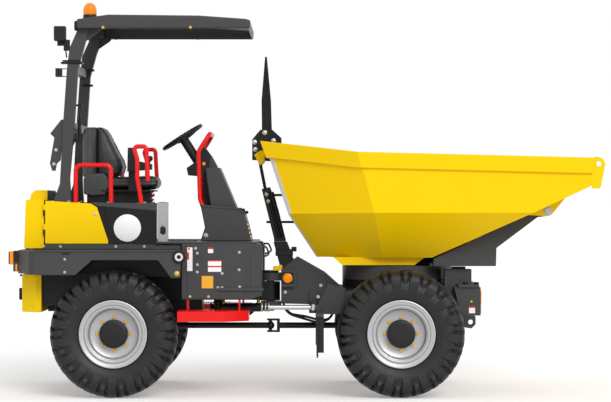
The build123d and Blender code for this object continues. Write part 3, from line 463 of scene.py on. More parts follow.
def tyreSurface(centreX, side, phase):
    # A closed section is carried round the axle, and each point slides from the groove line to the lug
    # line by the lug mask.
    spec = tyreSpec
    length = runLength(tyreSection[:, :2])
    crown = np.linspace(0, spec["crownEnd"], spec["crownColumns"])
    along = np.concatenate([crown, np.linspace(spec["wallStart"], length[-1], spec["wallColumns"])])
    columns = np.stack([np.interp(along, length, tyreSection[:, c]) for c in range(4)])
    flipped = columns * np.array([-1, 1, -1, 1])[:, None]
    columns = np.concatenate([columns, flipped[:, -2:0:-1]], axis=1)
    signed = np.concatenate([along, -along[-2:0:-1]])
    turn = evenTurn(spec["lugs"] * spec["samplesPerLug"])[:, None]
    mask = np.zeros((len(turn), len(signed)))
    for flip, first in ((1, 0.0), (-1, 0.5)):
        for offset, lug in ((first, spec["long"]), (first + 0.5, spec["short"])):
            mask = np.maximum(mask, lugMask(turn + phase, signed[None] * flip, offset, lug))
    half = columns[0] + mask * (columns[2] - columns[0])
    radius = columns[1] + mask * (columns[3] - columns[1])
    x = centreX + radius * np.cos(turn) / 1000
    y = side * (wheelSpec["centreY"] + half / 1000)
    z = wheelSpec["axleZ"] + radius * np.sin(turn) / 1000
    faces = gridFaces(len(turn), len(signed), closeRows=True, closeColumns=True)
    return np.stack([x, y, z], -1).reshape(-1, 3), faces


# How far round each axle's tread is turned, in radians.
treadPhase = {"front": 0.07, "rear": 0.19}
print("treading tyres")
for name, (x, side) in wheelPlaces.items():
    surface = tyreSurface(x, side, treadPhase[name.split("_")[0]])
    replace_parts(addPiece(f"tread_{name}", surface, "tyreRubber", f"wheel_{name}"), f"tyre_{name}")

# Radius and offset outwards from the wheel's middle, as one closed loop.
rimProfile = [
    (46, 20), (98, 20), (160, 20), (172, 26), (178, 40), (184, 50), (206, 52), (213, 40), (216, -60),
    (222, -104), (230, -118), (238, -121), (241, -126), (238, -131), (232, -131), (226, -124), (224, -110),
    (226, 106), (231, 117), (238, 120), (241.5, 125), (241, 130), (237, 132), (231, 131.5), (226, 128),
    (222, 126), (211, 125), (208, 122), (207, 111), (202, 111), (201, 121), (197, 122), (190, 120),
    (187, 117), (186, 107), (181, 105), (178, 97), (176, 70), (175, 50), (170, 40), (162, 36), (120, 35),
    (104, 35), (46, 35), (46, 20),
]
capProfile = [
    (0, 22), (99, 22), (101, 34), (101, 88), (98.5, 94), (92, 97.5), (70, 99), (30, 99.5), (0, 99.5),
]
nutSpec = {"count": 8, "circle": 118.5, "radius": 11.5, "height": 16, "face": 35}
print("turning rims")
for name, (x, side) in wheelPlaces.items():
    centre = 1000 * np.array([x, side * wheelSpec["centreY"], wheelSpec["axleZ"]])
    axis, body = (0, side, 0), f"wheel_{name}"
    rim = addPiece(f"disc_{name}", spin(rimProfile, centre, axis, 96), "silverPaint", body)
    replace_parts(rim, f"rim_{name}")
    addPiece(f"hubCap_{name}", spin(capProfile, centre, axis, 64), "blackPlastic", body)
    turn = evenTurn(nutSpec["count"]) + np.pi / 2
    nuts = centre + ringRows(turn, nutSpec["circle"], side * nutSpec["face"])[:, [0, 2, 1]]
    heads = hexHeads(nuts, axis, nutSpec["radius"], nutSpec["height"])
    addPiece(f"wheelNuts_{name}", heads, "brass", body, sharp=0)


seatSpec = {
    "rows": 120, "around": 160, "seamDepth": 5.0, "seamWidth": 5.0,
    # Rows of height, rear x, front x and half-width.
    "back": [
        (1575, -1520, -1418, 196), (1585, -1540, -1378, 206), (1605, -1548, -1348, 214),
        (1650, -1552, -1334, 220), (1700, -1552, -1350, 222), (1760, -1550, -1388, 220),
        (1830, -1546, -1422, 210), (1890, -1542, -1448, 196), (1925, -1538, -1474, 182),
        (1938, -1530, -1500, 168),
    ],
    "backSquare": 0.62, "backBolster": 26.0, "backSwell": (0.5, 0.86, 0.4), "backTop": (1930, 1780),
    "backSeamShare": 0.62, "backSeamHeights": (1712, 1842), "backSeamEnd": 0.6,
    "shell": [
        (1574, -1636, -1540, 205), (1590, -1643, -1532, 212), (1700, -1644, -1530, 218),
        (1850, -1643, -1528, 208), (1905, -1641, -1526, 194), (1930, -1630, -1528, 180),
        (1938, -1610, -1534, 170),
    ],
    "shellRows": 70, "shellSquare": 0.5,
    "ribDepth": 3.0, "ribPitch": 26, "ribStart": -1590, "ribSides": (0.8, 0.97),
    # Rows of x, lower and upper height and half-width.
    "cushion": [
        (-1500, 1486, 1560, 212), (-1490, 1480, 1572, 224), (-1440, 1479, 1576, 232),
        (-1300, 1479, 1578, 234), (-1180, 1479, 1583, 234), (-1125, 1482, 1583, 232),
        (-1098, 1490, 1572, 226), (-1086, 1504, 1552, 216), (-1082, 1520, 1534, 204),
    ],
    "cushionSquare": 0.55, "cushionBolster": 14.0, "cushionSwell": (0.55, 0.85, 0.55),
    "cushionBack": (-1500, -1440),
    "cushionSeamShare": 0.66, "crossSeam": -1250, "crossSeamEnd": 0.64, "wallSeam": 1532,
}


def superLoop(power):
    # Equal steps round a squared circle: cosine and sine with their sizes raised to a power below one.
    angle = evenTurn(seatSpec["around"])[None]
    return (np.sign(wave) * np.abs(wave) ** power for wave in (np.cos(angle), np.sin(angle)))


def loftRows(table, count):
    # The table's columns read along its length, with the steps drawn together at both ends.
    table = np.asarray(table, float)
    length = runLength(table[:, :2])
    step = 0.5 - 0.5 * np.cos(np.linspace(0, np.pi, count))
    return (np.interp(step * length[-1], length, column)[:, None] for column in table.T)


def loftShape(*axes):
    # A closed loft from its x, y and z, each a grid or a column of it.
    return closedLoft(np.stack(np.broadcast_arrays(*axes), -1) / 1000)


def groove(distance):
    # A soft dip that is deepest where the distance is nought.
    return seatSpec["seamDepth"] * np.exp(-((distance / seatSpec["seamWidth"]) ** 2))


def swell(share, limits):
    # Rises towards both sides between two shares of the half-width, from a little below the plain face.
    low, high, level = limits
    return smoothStep(low, high, share) - level


def seatBack():
    # A squared ring at each height. Its front swells at both sides, is hollow in the middle and dips
    # along the seams.
    spec = seatSpec
    z, rear, front, half = loftRows(spec["back"], spec["rows"])
    c, s = superLoop(spec["backSquare"])
    x = (rear + front) / 2 + (front - rear) / 2 * c
    y = half * s
    face = np.clip(c, 0, 1) ** 0.5
    share = np.abs(y) / half
    x = x + face * spec["backBolster"] * swell(share, spec["backSwell"]) * smoothStep(*spec["backTop"], z)
    low, high = spec["backSeamHeights"]
    seams = groove(np.abs(y) - spec["backSeamShare"] * half) + groove(z - high)
    seams = seams + groove(z - low) * (share < spec["backSeamEnd"])
    return loftShape(x - face * seams, y, z)


def seatShell():
    # A squared ring at each height, with three upright ribs down each side.
    spec = seatSpec
    z, rear, front, half = loftRows(spec["shell"], spec["shellRows"])
    c, s = superLoop(spec["shellSquare"])
    x = (rear + front) / 2 + (front - rear) / 2 * c
    wave = np.cos((x - spec["ribStart"]) / spec["ribPitch"] * 2 * np.pi)
    rib = spec["ribDepth"] * wave * smoothStep(*spec["ribSides"], np.abs(s))
    return loftShape(x, half * s + np.sign(s) * rib, z)


def seatCushion():
    # A squared ring at each x. Its top is crowned, swells at both sides and dips along two long seams
    # and one cross seam.
    spec = seatSpec
    x, low, high, half = loftRows(spec["cushion"], spec["rows"])
    c, s = superLoop(spec["cushionSquare"])
    y = half * c
    z = (low + high) / 2 + (high - low) / 2 * s
    face = np.clip(s, 0, 1) ** 0.5
    share = np.abs(y) / half
    rise = spec["cushionBolster"] * swell(share, spec["cushionSwell"])
    z = z + face * rise * smoothStep(*spec["cushionBack"], x)
    seams = groove(np.abs(y) - spec["cushionSeamShare"] * half)
    seams = seams + groove(x - spec["crossSeam"]) * (share < spec["crossSeamEnd"])
    z = z - face * seams
    y = y - np.sign(y) * np.abs(c) ** 4 * groove(z - spec["wallSeam"])
    return loftShape(x, y, z)


print("sewing the seat")
for name, shape, node in (("backPad", seatBack(), "seat_back"), ("seatPad", seatCushion(), "seat_cushion")):
    pad = addPiece(name, shape, "seatVinyl", sharp=60)
    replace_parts(pad, node)
addPiece("backShell", seatShell(), "shellPlastic", sharp=50)
hingeLine = [
    (-1624, 1446), (-1628, 1560), (-1600, 1596), (-1480, 1600), (-1452, 1570), (-1446, 1500), (-1470, 1440),
    (-1560, 1432),
]
hingeCore = [(-1600, 1470), (-1600, 1580), (-1500, 1580), (-1500, 1470)]
dress({
    "seatRails": {
        "paint": "blackPlastic", "edge": 4,
        "boxes": [
            (-1600, -1470, -205, -165, 1376, 1450), (-1600, -1470, 165, 205, 1376, 1450),
            (-1590, -1480, -170, 170, 1376, 1400),
        ],
    },
    "hingeCovers": {
        "paint": "shellPlastic", "edge": 10,
        "outlines": [(hingeLine, -234, -196), (hingeLine, 196, 234), (hingeCore, -200, 200)],
    },
})


steerSpec = {
    "centre": (-913, 0, 1869), "axis": (-0.536, 0, 0.844), "ring": 160, "tube": 14,
    "around": 120, "section": 20, "fingerWaves": 30, "waveDepth": 0.9,
    "spokes": (90, 210, 330), "spokeRadius": 7.5, "spokeLine": ((20, -24), (70, -20), (120, -8), (156, 0)),
    "hub": [(0, -30), (30, -30), (36, -26), (37, -8), (34, 2), (26, 6), (0, 7)],
}


def steeringRing():
    # A small circle carried round a large one, with a shallow finger wave on its far side.
    spec = steerSpec
    large, small = evenTurn(spec["around"])[:, None], evenTurn(spec["section"])[None]
    wave = spec["waveDepth"] * np.cos(spec["fingerWaves"] * large) * np.clip(np.sin(small), 0, 1)
    tube = spec["tube"] - spec["waveDepth"] + wave
    local = ringRows(large, spec["ring"] + tube * np.cos(small), tube * np.sin(small))
    verts = (local.reshape(-1, 3) @ turnFrame(spec["axis"]) + np.array(spec["centre"])) / 1000
    return verts, gridFaces(spec["around"], spec["section"], closeRows=True, closeColumns=True)


def steeringSpoke(angle):
    # A bar from the hub's side, dished below the ring's plane, up to the ring.
    spec = steerSpec
    side, up, axis = turnFrame(spec["axis"])
    way = np.cos(np.radians(angle)) * side + np.sin(np.radians(angle)) * up
    points = [np.array(spec["centre"]) + way * out + axis * rise for out, rise in spec["spokeLine"]]
    return roundBar(points, spec["spokeRadius"], count=30, passes=10, across=np.cross(way, axis))


print("shaping the steering wheel")
hub = spin(steerSpec["hub"], steerSpec["centre"], steerSpec["axis"])
ring = joined(steeringRing(), hub, *[steeringSpoke(angle) for angle in steerSpec["spokes"]])
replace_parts(addPiece("steeringRing", ring, "blackPlastic", "steering", sharp=45), "steering_wheel")


beaconSpec = {
    "place": (-1560, -450, 0), "ribs": 28, "ribDepth": 0.012, "turns": 168,
    "base": [(0, 2690), (46, 2690), (50, 2708), (50, 2736), (47, 2744), (0, 2744)],
    "dome": [
        (45, 2742), (48.5, 2750), (49.5, 2764), (48, 2782), (44.5, 2797), (38, 2811), (28, 2822), (15, 2829),
        (0, 2831.5),
    ],
}


def ribbedDome():
    # The dome's radius waves gently round it, so that the lens has upright ribs.
    spec = beaconSpec
    verts, faces = spin(spec["dome"], spec["place"], (0, 0, 1), spec["turns"])
    centre = np.array(spec["place"][:2]) / 1000
    out = verts[:, :2] - centre
    ribs = 0.5 + 0.5 * np.cos(np.arctan2(out[:, 1], out[:, 0]) * spec["ribs"])
    verts[:, :2] = centre + out * (1 - spec["ribDepth"] * ribs)[:, None]
    return verts, faces


print("fitting lamps")
beaconBase = spin(beaconSpec["base"], beaconSpec["place"], (0, 0, 1))
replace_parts(addPiece("beaconBase", beaconBase, "blackPlastic"), "beacon")
addPiece("beaconDome", ribbedDome(), "beaconLens", sharp=80)
dress({
    "rearLens": {
        "paint": "orangeLens", "edge": 4, "mirror": True,
        "boxes": [(-2111, -2086, -693, -597, 942, 1037), (-2070, -2058, -694, -690, 889, 946)],
    },
    "rearHousing": {
        "paint": "greyPaint", "edge": 4, "mirror": True, "boxes": [(-2087, -2048, -692, -598, 893, 958)],
    },
    "workGlass": {"paint": "clearLens", "edge": 3, "boxes": [(-1814, -1808, -548, -462, 2560, 2646)]},
    "rearReflector": {
        "paint": "blackPlastic", "edge": 3,
        "boxes": [
            (-1800, -1754, -556, -500, 2290, 2352), (-1756, -1712, -520, -510, 2346, 2352),
            (-1756, -1712, -520, -510, 2290, 2296),
        ],
    },
})
# A low dome with two rings, facing sideways.
markerProfile = [(0, 0), (35, 0), (35, 4.5), (31.5, 7), (21.7, 10), (19.25, 8), (7, 9.5), (0, 10)]
dress({
    "frontLens": {
        "paint": "orangeLens", "edge": 3, "mirror": True, "boxes": [(1258, 1269, -530, -412, 654, 748)],
    },
    "frontGlass": {
        "paint": "clearLens", "edge": 3, "mirror": True, "boxes": [(1258, 1269, -530, -412, 590, 650)],
    },
    "markerRim": {
        "paint": "blackPlastic", "edge": 3, "mirror": True, "boxes": [(-175, -87, -174, -169, 786, 872)],
    },
    # The side reflectors' orange glow is a painted glow, as they are no lamps.
    "markerLens": {"paint": "orangeLens", "mirror": True, "turned": [(markerProfile, (-131, -173, 829), 48)]},
}, "front_chassis")


# Blank plates on the right-hand cabinet: low and high x and z, and how far each stands off the face.
cabinetFace = -660
labels = {
    "whiteLabels": {
        "paint": "whitePlate", "depth": 3.4,
        "rows": [
            (-846, -808, 896, 1064), (-697, -660, 1024, 1063), (-697, -602, 932, 972), (-697, -602, 890, 929),
        ],
    },
    "redHeads": {
        "paint": "redPlate", "depth": 3.8,
        "rows": [
            (-840, -826, 1046, 1060), (-846, -832, 976, 1030), (-697, -660, 1051, 1063),
            (-697, -602, 964, 972), (-697, -602, 922, 929),
        ],
    },
    "amberLabel": {"paint": "amberPlate", "depth": 3.4, "rows": [(-742, -660, 772, 860)]},
}
print("plating the rear half")
for name, spec in labels.items():
    rows = [(x0, x1, cabinetFace - spec["depth"], cabinetFace, z0, z1) for x0, x1, z0, z1 in spec["rows"]]
    addPiece(name, boxes(rows), spec["paint"])

skirtLine = [(-1545, 1386), (-1069, 1379), (-1069, 1326), (-1498, 1360)]
skirtTop = [(-1545, 1375), (-1069, 1375), (-1069, 1379), (-1545, 1386)]
discAt, fillerAt, plugAt = (-1282, -548, 1202), (-894, -870, 1000), (-908, -870, 884)
dress({
    "cabinetPanels": {
        "paint": "greyPaint", "edge": 2, "mirror": True,
        "boxes": [
            (-848, -436, -662.5, -659, 700, 1083), (-424, -402, -662.5, -659, 722, 1066),
            (-392, -318, -662.5, -659, 728, 1052),
        ],
    },
    "sideSills": {
        "paint": "greyPaint", "edge": 3, "mirror": True,
        "boxes": [(-1868, -1071, -632, -549, 1050, 1086), (-1071, -892, -632, -560, 1050, 1086)],
    },
    "deckSkirt": {
        "paint": "greyPaint", "edge": 2,
        "outlines": [(skirtLine, -551, -547), (skirtLine, 547, 551), (skirtTop, -549, 549)],
    },
    "discBorder": {"paint": "blackPlastic", "turned": [([(0, 0), (104, 0), (104, 1), (0, 1)], discAt, 96)]},
    "blankDisc": {
        "paint": "whitePlate", "turned": [([(0, 0), (98, 0), (98, 2), (96.5, 2.8), (0, 2.8)], discAt, 96)],
    },
    # Plates behind the wheels close the space between the chassis and the deck; their black is painted shade
    # for that space.
    "gapShadePlates": {"paint": "blackPaint", "mirror": True, "boxes": [(-1893, -888, -528, -522, 852, 1053)]},
    "coverFlanges": {
        "paint": "glossBlack", "mirror": True, "boxes": [(-1500, -1438, -548, -543, 1098, 1338)],
    },
    # Black patches on the fenders where the slots are: painted shade for the openings.
    "fenderSlotShades": {
        "paint": "blackPlastic", "mirror": True, "boxes": [(-1723, -1664, -871.5, -868, 1017, 1031)],
    },
    "hookSleeves": {
        "paint": "blackPaint", "edge": 6, "mirror": True,
        "boxes": [(-2086, -2046, -344, -316, 677, 763), (-2082, -2044, -340, -320, 848, 862)],
    },
    "fillerNeck": {
        "paint": "blackPlastic",
        "turned": [(
            [
                (0, -210), (34, -210), (34, 0), (46, 0), (47, 4), (47, 10), (43, 15), (38, 15), (38, 11),
                (0, 11),
            ],
            fillerAt, 48,
        )],
    },
    "fillerCap": {
        "paint": "capMetal",
        "turned": [(
            [(0, 9), (29, 9), (30, 12), (30, 18), (27, 22), (15, 22), (13, 19), (13, 14), (0, 14)],
            fillerAt, 48,
        )],
    },
    "fillerCore": {
        "paint": "blackPlastic",
        "turned": [([(0, 13), (13.5, 13), (13.5, 17), (5, 18), (4, 21), (0, 21)], fillerAt, 48)],
    },
    "drainPlug": {
        "paint": "brass",
        "turned": [
            ([(0, 0), (19, 0), (20, 3), (18, 6), (0, 6)], plugAt, 30),
            ([(0, 5), (13, 5), (13, 12), (9, 15), (0, 16)], plugAt, 30),
        ],
    },
    "fuseBox": {"paint": "blackPlastic", "edge": 8, "boxes": [(-1868, -1800, -452, -372, 1375, 1459)]},
})
boltOn({
    "cabinetBolts": {
        "radius": 7.5, "height": 6,
        "places": [
            (-774, -662, 1023), (-773, -662, 941), (-774, -662, 888), (-473, -662, 1029), (-475, -662, 904),
            (-826, -662, 712), (-693, -662, 712), (-626, -662, 776), (-597, -662, 776), (-471, -662, 782),
            (-596, -662, 878), (-786, -662, 1058),
        ],
    },
    "fenderBolts": {
        "radius": 7, "height": 5,
        "places": [
            (-1701, -870, 984), (-1701, -870, 893), (-1755, -632, 1070), (-1359, -632, 1070),
            (-1155, -632, 1070),
        ],
    },
})
lockProfile = [(0, 0), (12, 0), (13, 2), (12, 4), (8, 5), (0, 5)]
for hand, side in (("right", -1), ("left", 1)):
    lock = spin(lockProfile, (-1511, side * 562, 1303), (0, side, 0), 30)
    addPiece(f"doorLock_{hand}", lock, "zinc", f"door_{hand}")

# The pillar's bright cover: a plate with an oval hole over each upright side, with two pressed channels.
pillarSpec = {
    "x": -1026, "steps": 48, "face": (-545.0, -549.5), "hole": (1187, 17, 15), "plate": (1244, 25, 141, 1.5),
    "channels": [
        (-1062, -1050, -550.5, -479, 1104, 1389), (-1002, -990, -550.5, -479, 1104, 1389),
        (-1050, -1044, -549.6, -545, 1240, 1385), (-1008, -1002, -549.6, -545, 1240, 1385),
    ],
    "slot": (1183, 20, 17, 12), "slotFace": (-551, -548.5),
}


def slottedPlate():
    # Each point of an oval loop is joined to the point in its direction on the plate's edge.
    spec = pillarSpec
    turn = evenTurn(spec["steps"])
    c, s = np.cos(turn), np.sin(turn)
    middle, radius, stretch = spec["hole"]
    oval = (spec["x"] + radius * c, middle + radius * s + stretch * np.sign(s) * (np.abs(s) > 1e-6))
    middle, halfWidth, halfHeight, corner = spec["plate"]
    square = [
        start + half * np.clip(corner * wave, -1, 1)
        for start, half, wave in ((spec["x"], halfWidth, c), (middle, halfHeight, s))
    ]
    back, front = spec["face"]
    loops = ((oval, back), (oval, front), (square, front), (square, back))
    rings = np.stack([np.stack([x, np.full(len(x), y), z], -1) for (x, z), y in loops]) / 1000
    return rings.reshape(-1, 3), gridFaces(4, spec["steps"], closeRows=True, closeColumns=True)


def pillarHoleShade():
    # A dark oval behind the hole, carried a little way across: painted shade for the hollow seen through it.
    middle, halfWidth, radius, stretch = pillarSpec["slot"]
    turn = evenTurn(pillarSpec["steps"])
    rise = radius * np.sin(turn) + stretch * np.sign(np.round(np.sin(turn), 6))
    outline = np.stack([pillarSpec["x"] + halfWidth * np.cos(turn), middle + rise], -1)
    return prism(outline, *pillarSpec["slotFace"])


addPiece("pillarCover", joined(boxes(pillarSpec["channels"]), slottedPlate()), "palePlastic", edge=1)
# Painted shade: a black oval seen through the cover's hole.
addPiece("pillarHoleShade", pillarHoleShade(), "blackPlastic")


lipLine = [
    (-770, 1366), (-764, 1372), (-483, 1344), (-444, 1314), (-438, 1303), (-446, 1297), (-486, 1330),
    (-764, 1354), (-770, 1356),
]
lidLine = [(-716, 1640), (-706, 1712), (-692, 1725), (-652, 1652), (-652, 1640)]
bootLine = [(-762, 1640), (-664, 1640), (-650, 1380), (-736, 1362), (-752, 1440)]
knobProfile = [(0, 0), (11, 0), (12, 5), (11, 12), (6, 15), (0, 15)]
leverProfile = [(0, 0), (5, 0), (5, 14), (10, 18), (11, 26), (7, 32), (0, 33)]


def ribRows(x, y, z, count, width):
    # Even ribs between two limits of x, as box rows.
    at = np.linspace(*x, count)
    return np.stack(np.broadcast_arrays(at, at + width, *y, *z), -1)


matSheet = np.array([(-1060, -790, -470, 470, 1103, 1106)])
matRibs = ribRows((-1054, -800), (-464, 464), (1106, 1108.5), 24, 5)
print("dressing the console")
dress({
    "consoleLip": {"paint": "greyPaint", "edge": 2, "mirror": True, "outlines": [(lipLine, -305, -298)]},
    "consoleFoot": {"paint": "blackPlastic", "edge": 2, "boxes": [(-762, -399, -303, 303, 1103, 1111)]},
    "consoleLid": {"paint": "greyPaint", "edge": 4, "outlines": [(lidLine, -74, 74)]},
    "columnBoot": {"paint": "blackPlastic", "edge": 6, "outlines": [(bootLine, -58, 58)]},
    # The button's orange glow is a painted glow, as it is no lamp.
    "orangeButton": {
        "paint": "orangeLens",
        "turned": [([(0, 0), (13, 0), (13, 4), (10, 5), (9, 9), (0, 10)], (-752, -70, 1671), 30)],
    },
    "hoodKnobs": {
        "paint": "blackPlastic", "axis": (0.8, 0, 0.6), "mirror": True,
        "turned": [(knobProfile, (-444, -262, 1308), 24), (knobProfile, (-470, -262, 1326), 24)],
    },
    "floorMat": {"paint": "blackPlastic", "boxes": np.concatenate([matSheet, matRibs])},
    "stepGrip": {
        "paint": "redPaint", "edge": 1.2, "segments": 1, "mirror": True,
        "boxes": ribRows((-895, -590), (-835, -670), (614, 618), 16, 7),
    },
    "seatLever": {
        "paint": "redPaint", "axis": (0.5, -0.8, 0.2), "turned": [(leverProfile, (-1128, -172, 1434), 24)],
    },
})
boltOn({
    "consoleBolts": {"radius": 12, "height": 9, "places": [(-727, -300, 1146)]},
    "railBolts": {
        "axis": (0, 0, 1), "radius": 9, "height": 7,
        "places": [(x, -532, 1383) for x in (-1632, -1424, -1158)],
    },
    "postBolts": {
        "axis": (0, 0, 1), "radius": 12, "height": 10,
        "places": [(x, y, 1389) for x in (-1822, -1706) for y in (-528, -472)],
    },
})

hazardSpec = {
    "low": (-401, 1127), "high": (-432, 1247), "bands": 8, "across": (4, 296), "lift": (2.6, -0.4),
}


def hazardStrip(share):
    # Slanting bands down the console's front edge; share picks every other band.
    spec = hazardSpec
    low, high = np.array(spec["low"]), np.array(spec["high"])
    front, back = [(lift, 0) for lift in spec["lift"]]
    bands = []
    for band in range(share, spec["bands"], 2):
        first, last = [low + (high - low) * (band + end) / spec["bands"] for end in (0, 1)]
        outline = [first + front, last + front, last + back, first + back]
        bands.append(prism(outline, *spec["across"]))
    return mirrored(joined(*bands))


addPiece("hazardYellow", hazardStrip(0), "hazardYellow")
addPiece("hazardBlack", hazardStrip(1), "blackPlastic")


gussetLine = [(-1640, 2500), (-1612, 2530), (-1555, 2569), (-1492, 2612), (-1472, 2640), (-1560, 2640)]
bracketLine = [
    (-1811, 1862), (-1844, 1668), (-1828, 1614), (-1802, 1614), (-1794, 1664), (-1766, 1690), (-1750, 1862),
]
lampLead = [(-1752, -505, 2560), (-1738, -512, 2530), (-1728, -520, 2480), (-1722, -512, 2430)]
beaconLead = [(-1560, 505, 2625), (-1580, 512, 2560), (-1612, 520, 2480), (-1640, 512, 2400)]
gasTube = [(0, 0), (12, 0), (12, 150), (8, 154), (0, 154)]
gasRod = [(0, 0), (6, 0), (6, 96), (0, 96)]
print("fitting the canopy")
dress({
    "roofGussets": {"paint": "greyPaint", "edge": 2, "mirror": True, "outlines": [(gussetLine, -506, -494)]},
    "postClamps": {
        "paint": "blackPaint", "edge": 4,
        "boxes": [
            (-1762, -1606, -541, -459, 2384, 2400), (-1752, -1620, -536, -464, 2404, 2412),
            (-1690, -1612, 459, 541, 2384, 2400), (-1700, -1622, 462, 538, 2268, 2284),
        ],
    },
    "roofLatches": {
        "paint": "blackPlastic", "edge": 9, "mirror": True, "boxes": [(-1664, -1640, -566, -502, 2622, 2692)],
    },
    "lampLeads": {"paint": "blackPlastic", "sharp": 60, "bars": [(lampLead, 5), (beaconLead, 6)]},
    "gasStrut": {
        "paint": "blackPaint", "edge": 1.5, "axis": (0.03, 0, 1),
        "turned": [(gasTube, (-1640, -444, 1840), 24), (gasRod, (-1635.5, -444, 1990), 20)],
        "boxes": [(-1690, -1618, -458, -436, 2082, 2096), (-1690, -1624, -458, -436, 1824, 1842)],
    },
    "postBracket": {"paint": "greyPaint", "edge": 2, "outlines": [(bracketLine, -508, -500)]},
    "workBracket": {
        "paint": "blackPaint", "boxes": [(-1790, -1735, -514, -506, 2515, 2560)],
        "turned": [([(0, 0), (13, 0), (13, 12), (0, 12)], (-1770, -514, 2535), 24)],
    },
})
boltOn({
    "roofBolts": {
        "paint": "brass", "radius": 8, "height": 6, "places": [(-1453, -600, 2642), (-826, -600, 2642)],
    },
    "bracketBolts": {
        "radius": 9, "height": 7, "single": True, "places": [(-1800, -508, 1764), (-1815, -508, 1663)],
    },
})


glandRing = [(20, -5), (34, -5), (35, 0), (34, 5), (20, 5)]
lampCap = [(0, 0), (17, 0), (20, 4), (20, 11), (14, 16), (0, 17)]
collarLine = [(-237, 1093), (-135, 1093), (-64, 902), (-186, 902)]
pipeShifts = (0, 22)  # the second pipe of each pair lies this much off the first
frontPipes = [
    [
        (-165, -60 - off, 640 - off), (-120, -95 - off, 560), (0, -120, 548 - off), (90, -150, 520 - off),
        (180, -150 + off, 522), (215, -120, 600),
    ]
    for off in pipeShifts
]
rearPipes = [
    [
        (-700, -120, 640 - off), (-640, -150 - off, 574), (-520, -170 - off, 560 - off),
        (-420, -150, 572 - off), (-360, -120, 610),
    ]
    for off in pipeShifts
]
print("dressing the front half")
dress({
    "hitchCaps": {
        "paint": "yellowPaint", "edge": 7,
        "boxes": [(-240, -182, -104, -62, 880, 916), (-200, -170, -96, -70, 896, 924)],
    },
    "hitchPinCap": {
        "paint": "blackPaint", "axis": (0, 0, 1),
        "turned": [([(0, 0), (60, 0), (62, 6), (60, 14), (40, 18), (0, 18)], (-260, 0, 866), 48)],
    },
    "glandRings": {
        "paint": "zinc", "body": "steer_cylinder", "axis": (1, 0, 0),
        "turned": [(glandRing, (x, -250, 618), 36) for x in (-318, -292, -270)],
    },
    "socketCollar": {
        "paint": "glossBlack", "edge": 4, "outlines": [(collarLine, -64, 64)],
        "boxes": [
            (-222, -92, -76, 76, 990, 1040), (-104, -66, -70, -40, 1022, 1056),
            (-104, -66, 40, 70, 1022, 1056),
        ],
    },
    "frontPipes": {"paint": "blackPlastic", "sharp": 60, "bars": [(line, 9) for line in frontPipes]},
    "rearPipes": {
        "paint": "blackPlastic", "body": "rear_chassis", "sharp": 60,
        "bars": [(line, 9) for line in rearPipes],
    },
    "lampCaps": {
        "paint": "blackPlastic", "axis": (0, 0, 1), "mirror": True,
        "turned": [(lampCap, (x, -505, 795), 30) for x in (1153, 1232)],
    },
    "lampLabel": {"paint": "whitePlate", "mirror": True, "boxes": [(1177, 1221, -541.6, -539.5, 588, 636)]},
    "lampLabelHead": {"paint": "redPlate", "mirror": True, "boxes": [(1177, 1221, -542.2, -539.5, 626, 636)]},
    "lampDots": {
        "paint": "hazardYellow", "mirror": True,
        "turned": [([(0, 0), (7, 0), (7, 2), (0, 3)], (1195, -540, 672), 20)],
    },
}, "front_chassis")
frontBolts = [(-149, -130, 724), (113, -130, 774), (92, -310, 697)]
boltOn({"frontBolts": {"radius": 9, "height": 8, "places": frontBolts}}, "front_chassis")
portFittings = {
    "paint": "brass", "axis": (0, 0, 1), "radius": 14, "height": 22, "single": True,
    "places": [(-600, -250, 650), (-345, -250, 650)],
}
boltOn({"portFittings": portFittings}, "steer_cylinder")


# The edge of the back wall, with the way out of the side facet above its knee and below it. Along this edge
# a pale strip is painted as the reflection of the bright studio where the wall turns away. Each strip begins
# and ends at a corner of the edge, and the upper one starts a share of the way down.
stripSpec = {
    "top": (-301, -500, 1827), "knee": (-126, -489.6, 1304), "foot": (70, -225, 1003), "startShare": 0.22,
    "upperNormal": (-163700, -280435, -60325), "lowerNormal": (-114030, -200749, -250580),
    "upperWidth": 32, "lowerWidth": 16, "inset": 1, "lift": 1.5,
}


def edgeStrip(start, end, normal, width):
    # A thin strip from start to end, as wide as given along the facet, lifted a little off it.
    spec = stripSpec
    normal = np.asarray(normal, float) / np.linalg.norm(normal)
    way = np.cross((end - start) / np.linalg.norm(end - start), normal)
    way = way * np.sign(way[0])
    corners = ((spec["inset"], -1), (width, -1), (width, spec["lift"]), (spec["inset"], spec["lift"]))
    rings = [[point + way * out + normal * rise for out, rise in corners] for point in (start, end)]
    return closedLoft(np.array(rings) / 1000)


top, knee, foot = (np.array(stripSpec[corner], float) for corner in ("top", "knee", "foot"))
upperStrip = edgeStrip(
    top + (knee - top) * stripSpec["startShare"], knee, stripSpec["upperNormal"], stripSpec["upperWidth"]
)
lowerStrip = edgeStrip(knee, foot, stripSpec["lowerNormal"], stripSpec["lowerWidth"])
bossProfile = [(0, 0), (17, 0), (17, 2), (12, 3), (11, 8), (6, 10), (0, 10)]
bossPlaces = [
    (-302, -48, 1902), (-377, -48, 1832), (-372, -48, 1777), (-237, -48, 1843), (-285, -45, 1446),
    (-272, -45, 1396),
]
lipCurve = [(-300, 1768), (-334, 1762), (-376, 1734), (-331, 1656), (-297, 1700)]
bladeLine = [
    (-318, 1930), (-316, 2140), (-296, 2440), (-290, 2440), (-262, 2140), (-256, 1930), (-268, 1930),
    (-276, 2130), (-293, 2390), (-302, 2140), (-306, 1930),
]
print("finishing the skip")
# The pale strips are a painted reflection along the skip's back edges.
addPiece("edgeReflectionStrips", mirrored(joined(upperStrip, lowerStrip)), "paleStrip", "skip", sharp=0)
pivotHead = hexHeads([(1747, -500, 1325)], (0, -1, 0), 26, 18)
addPiece("pivotHeads", mirrored(pivotHead), "zinc", "skip", sharp=0)
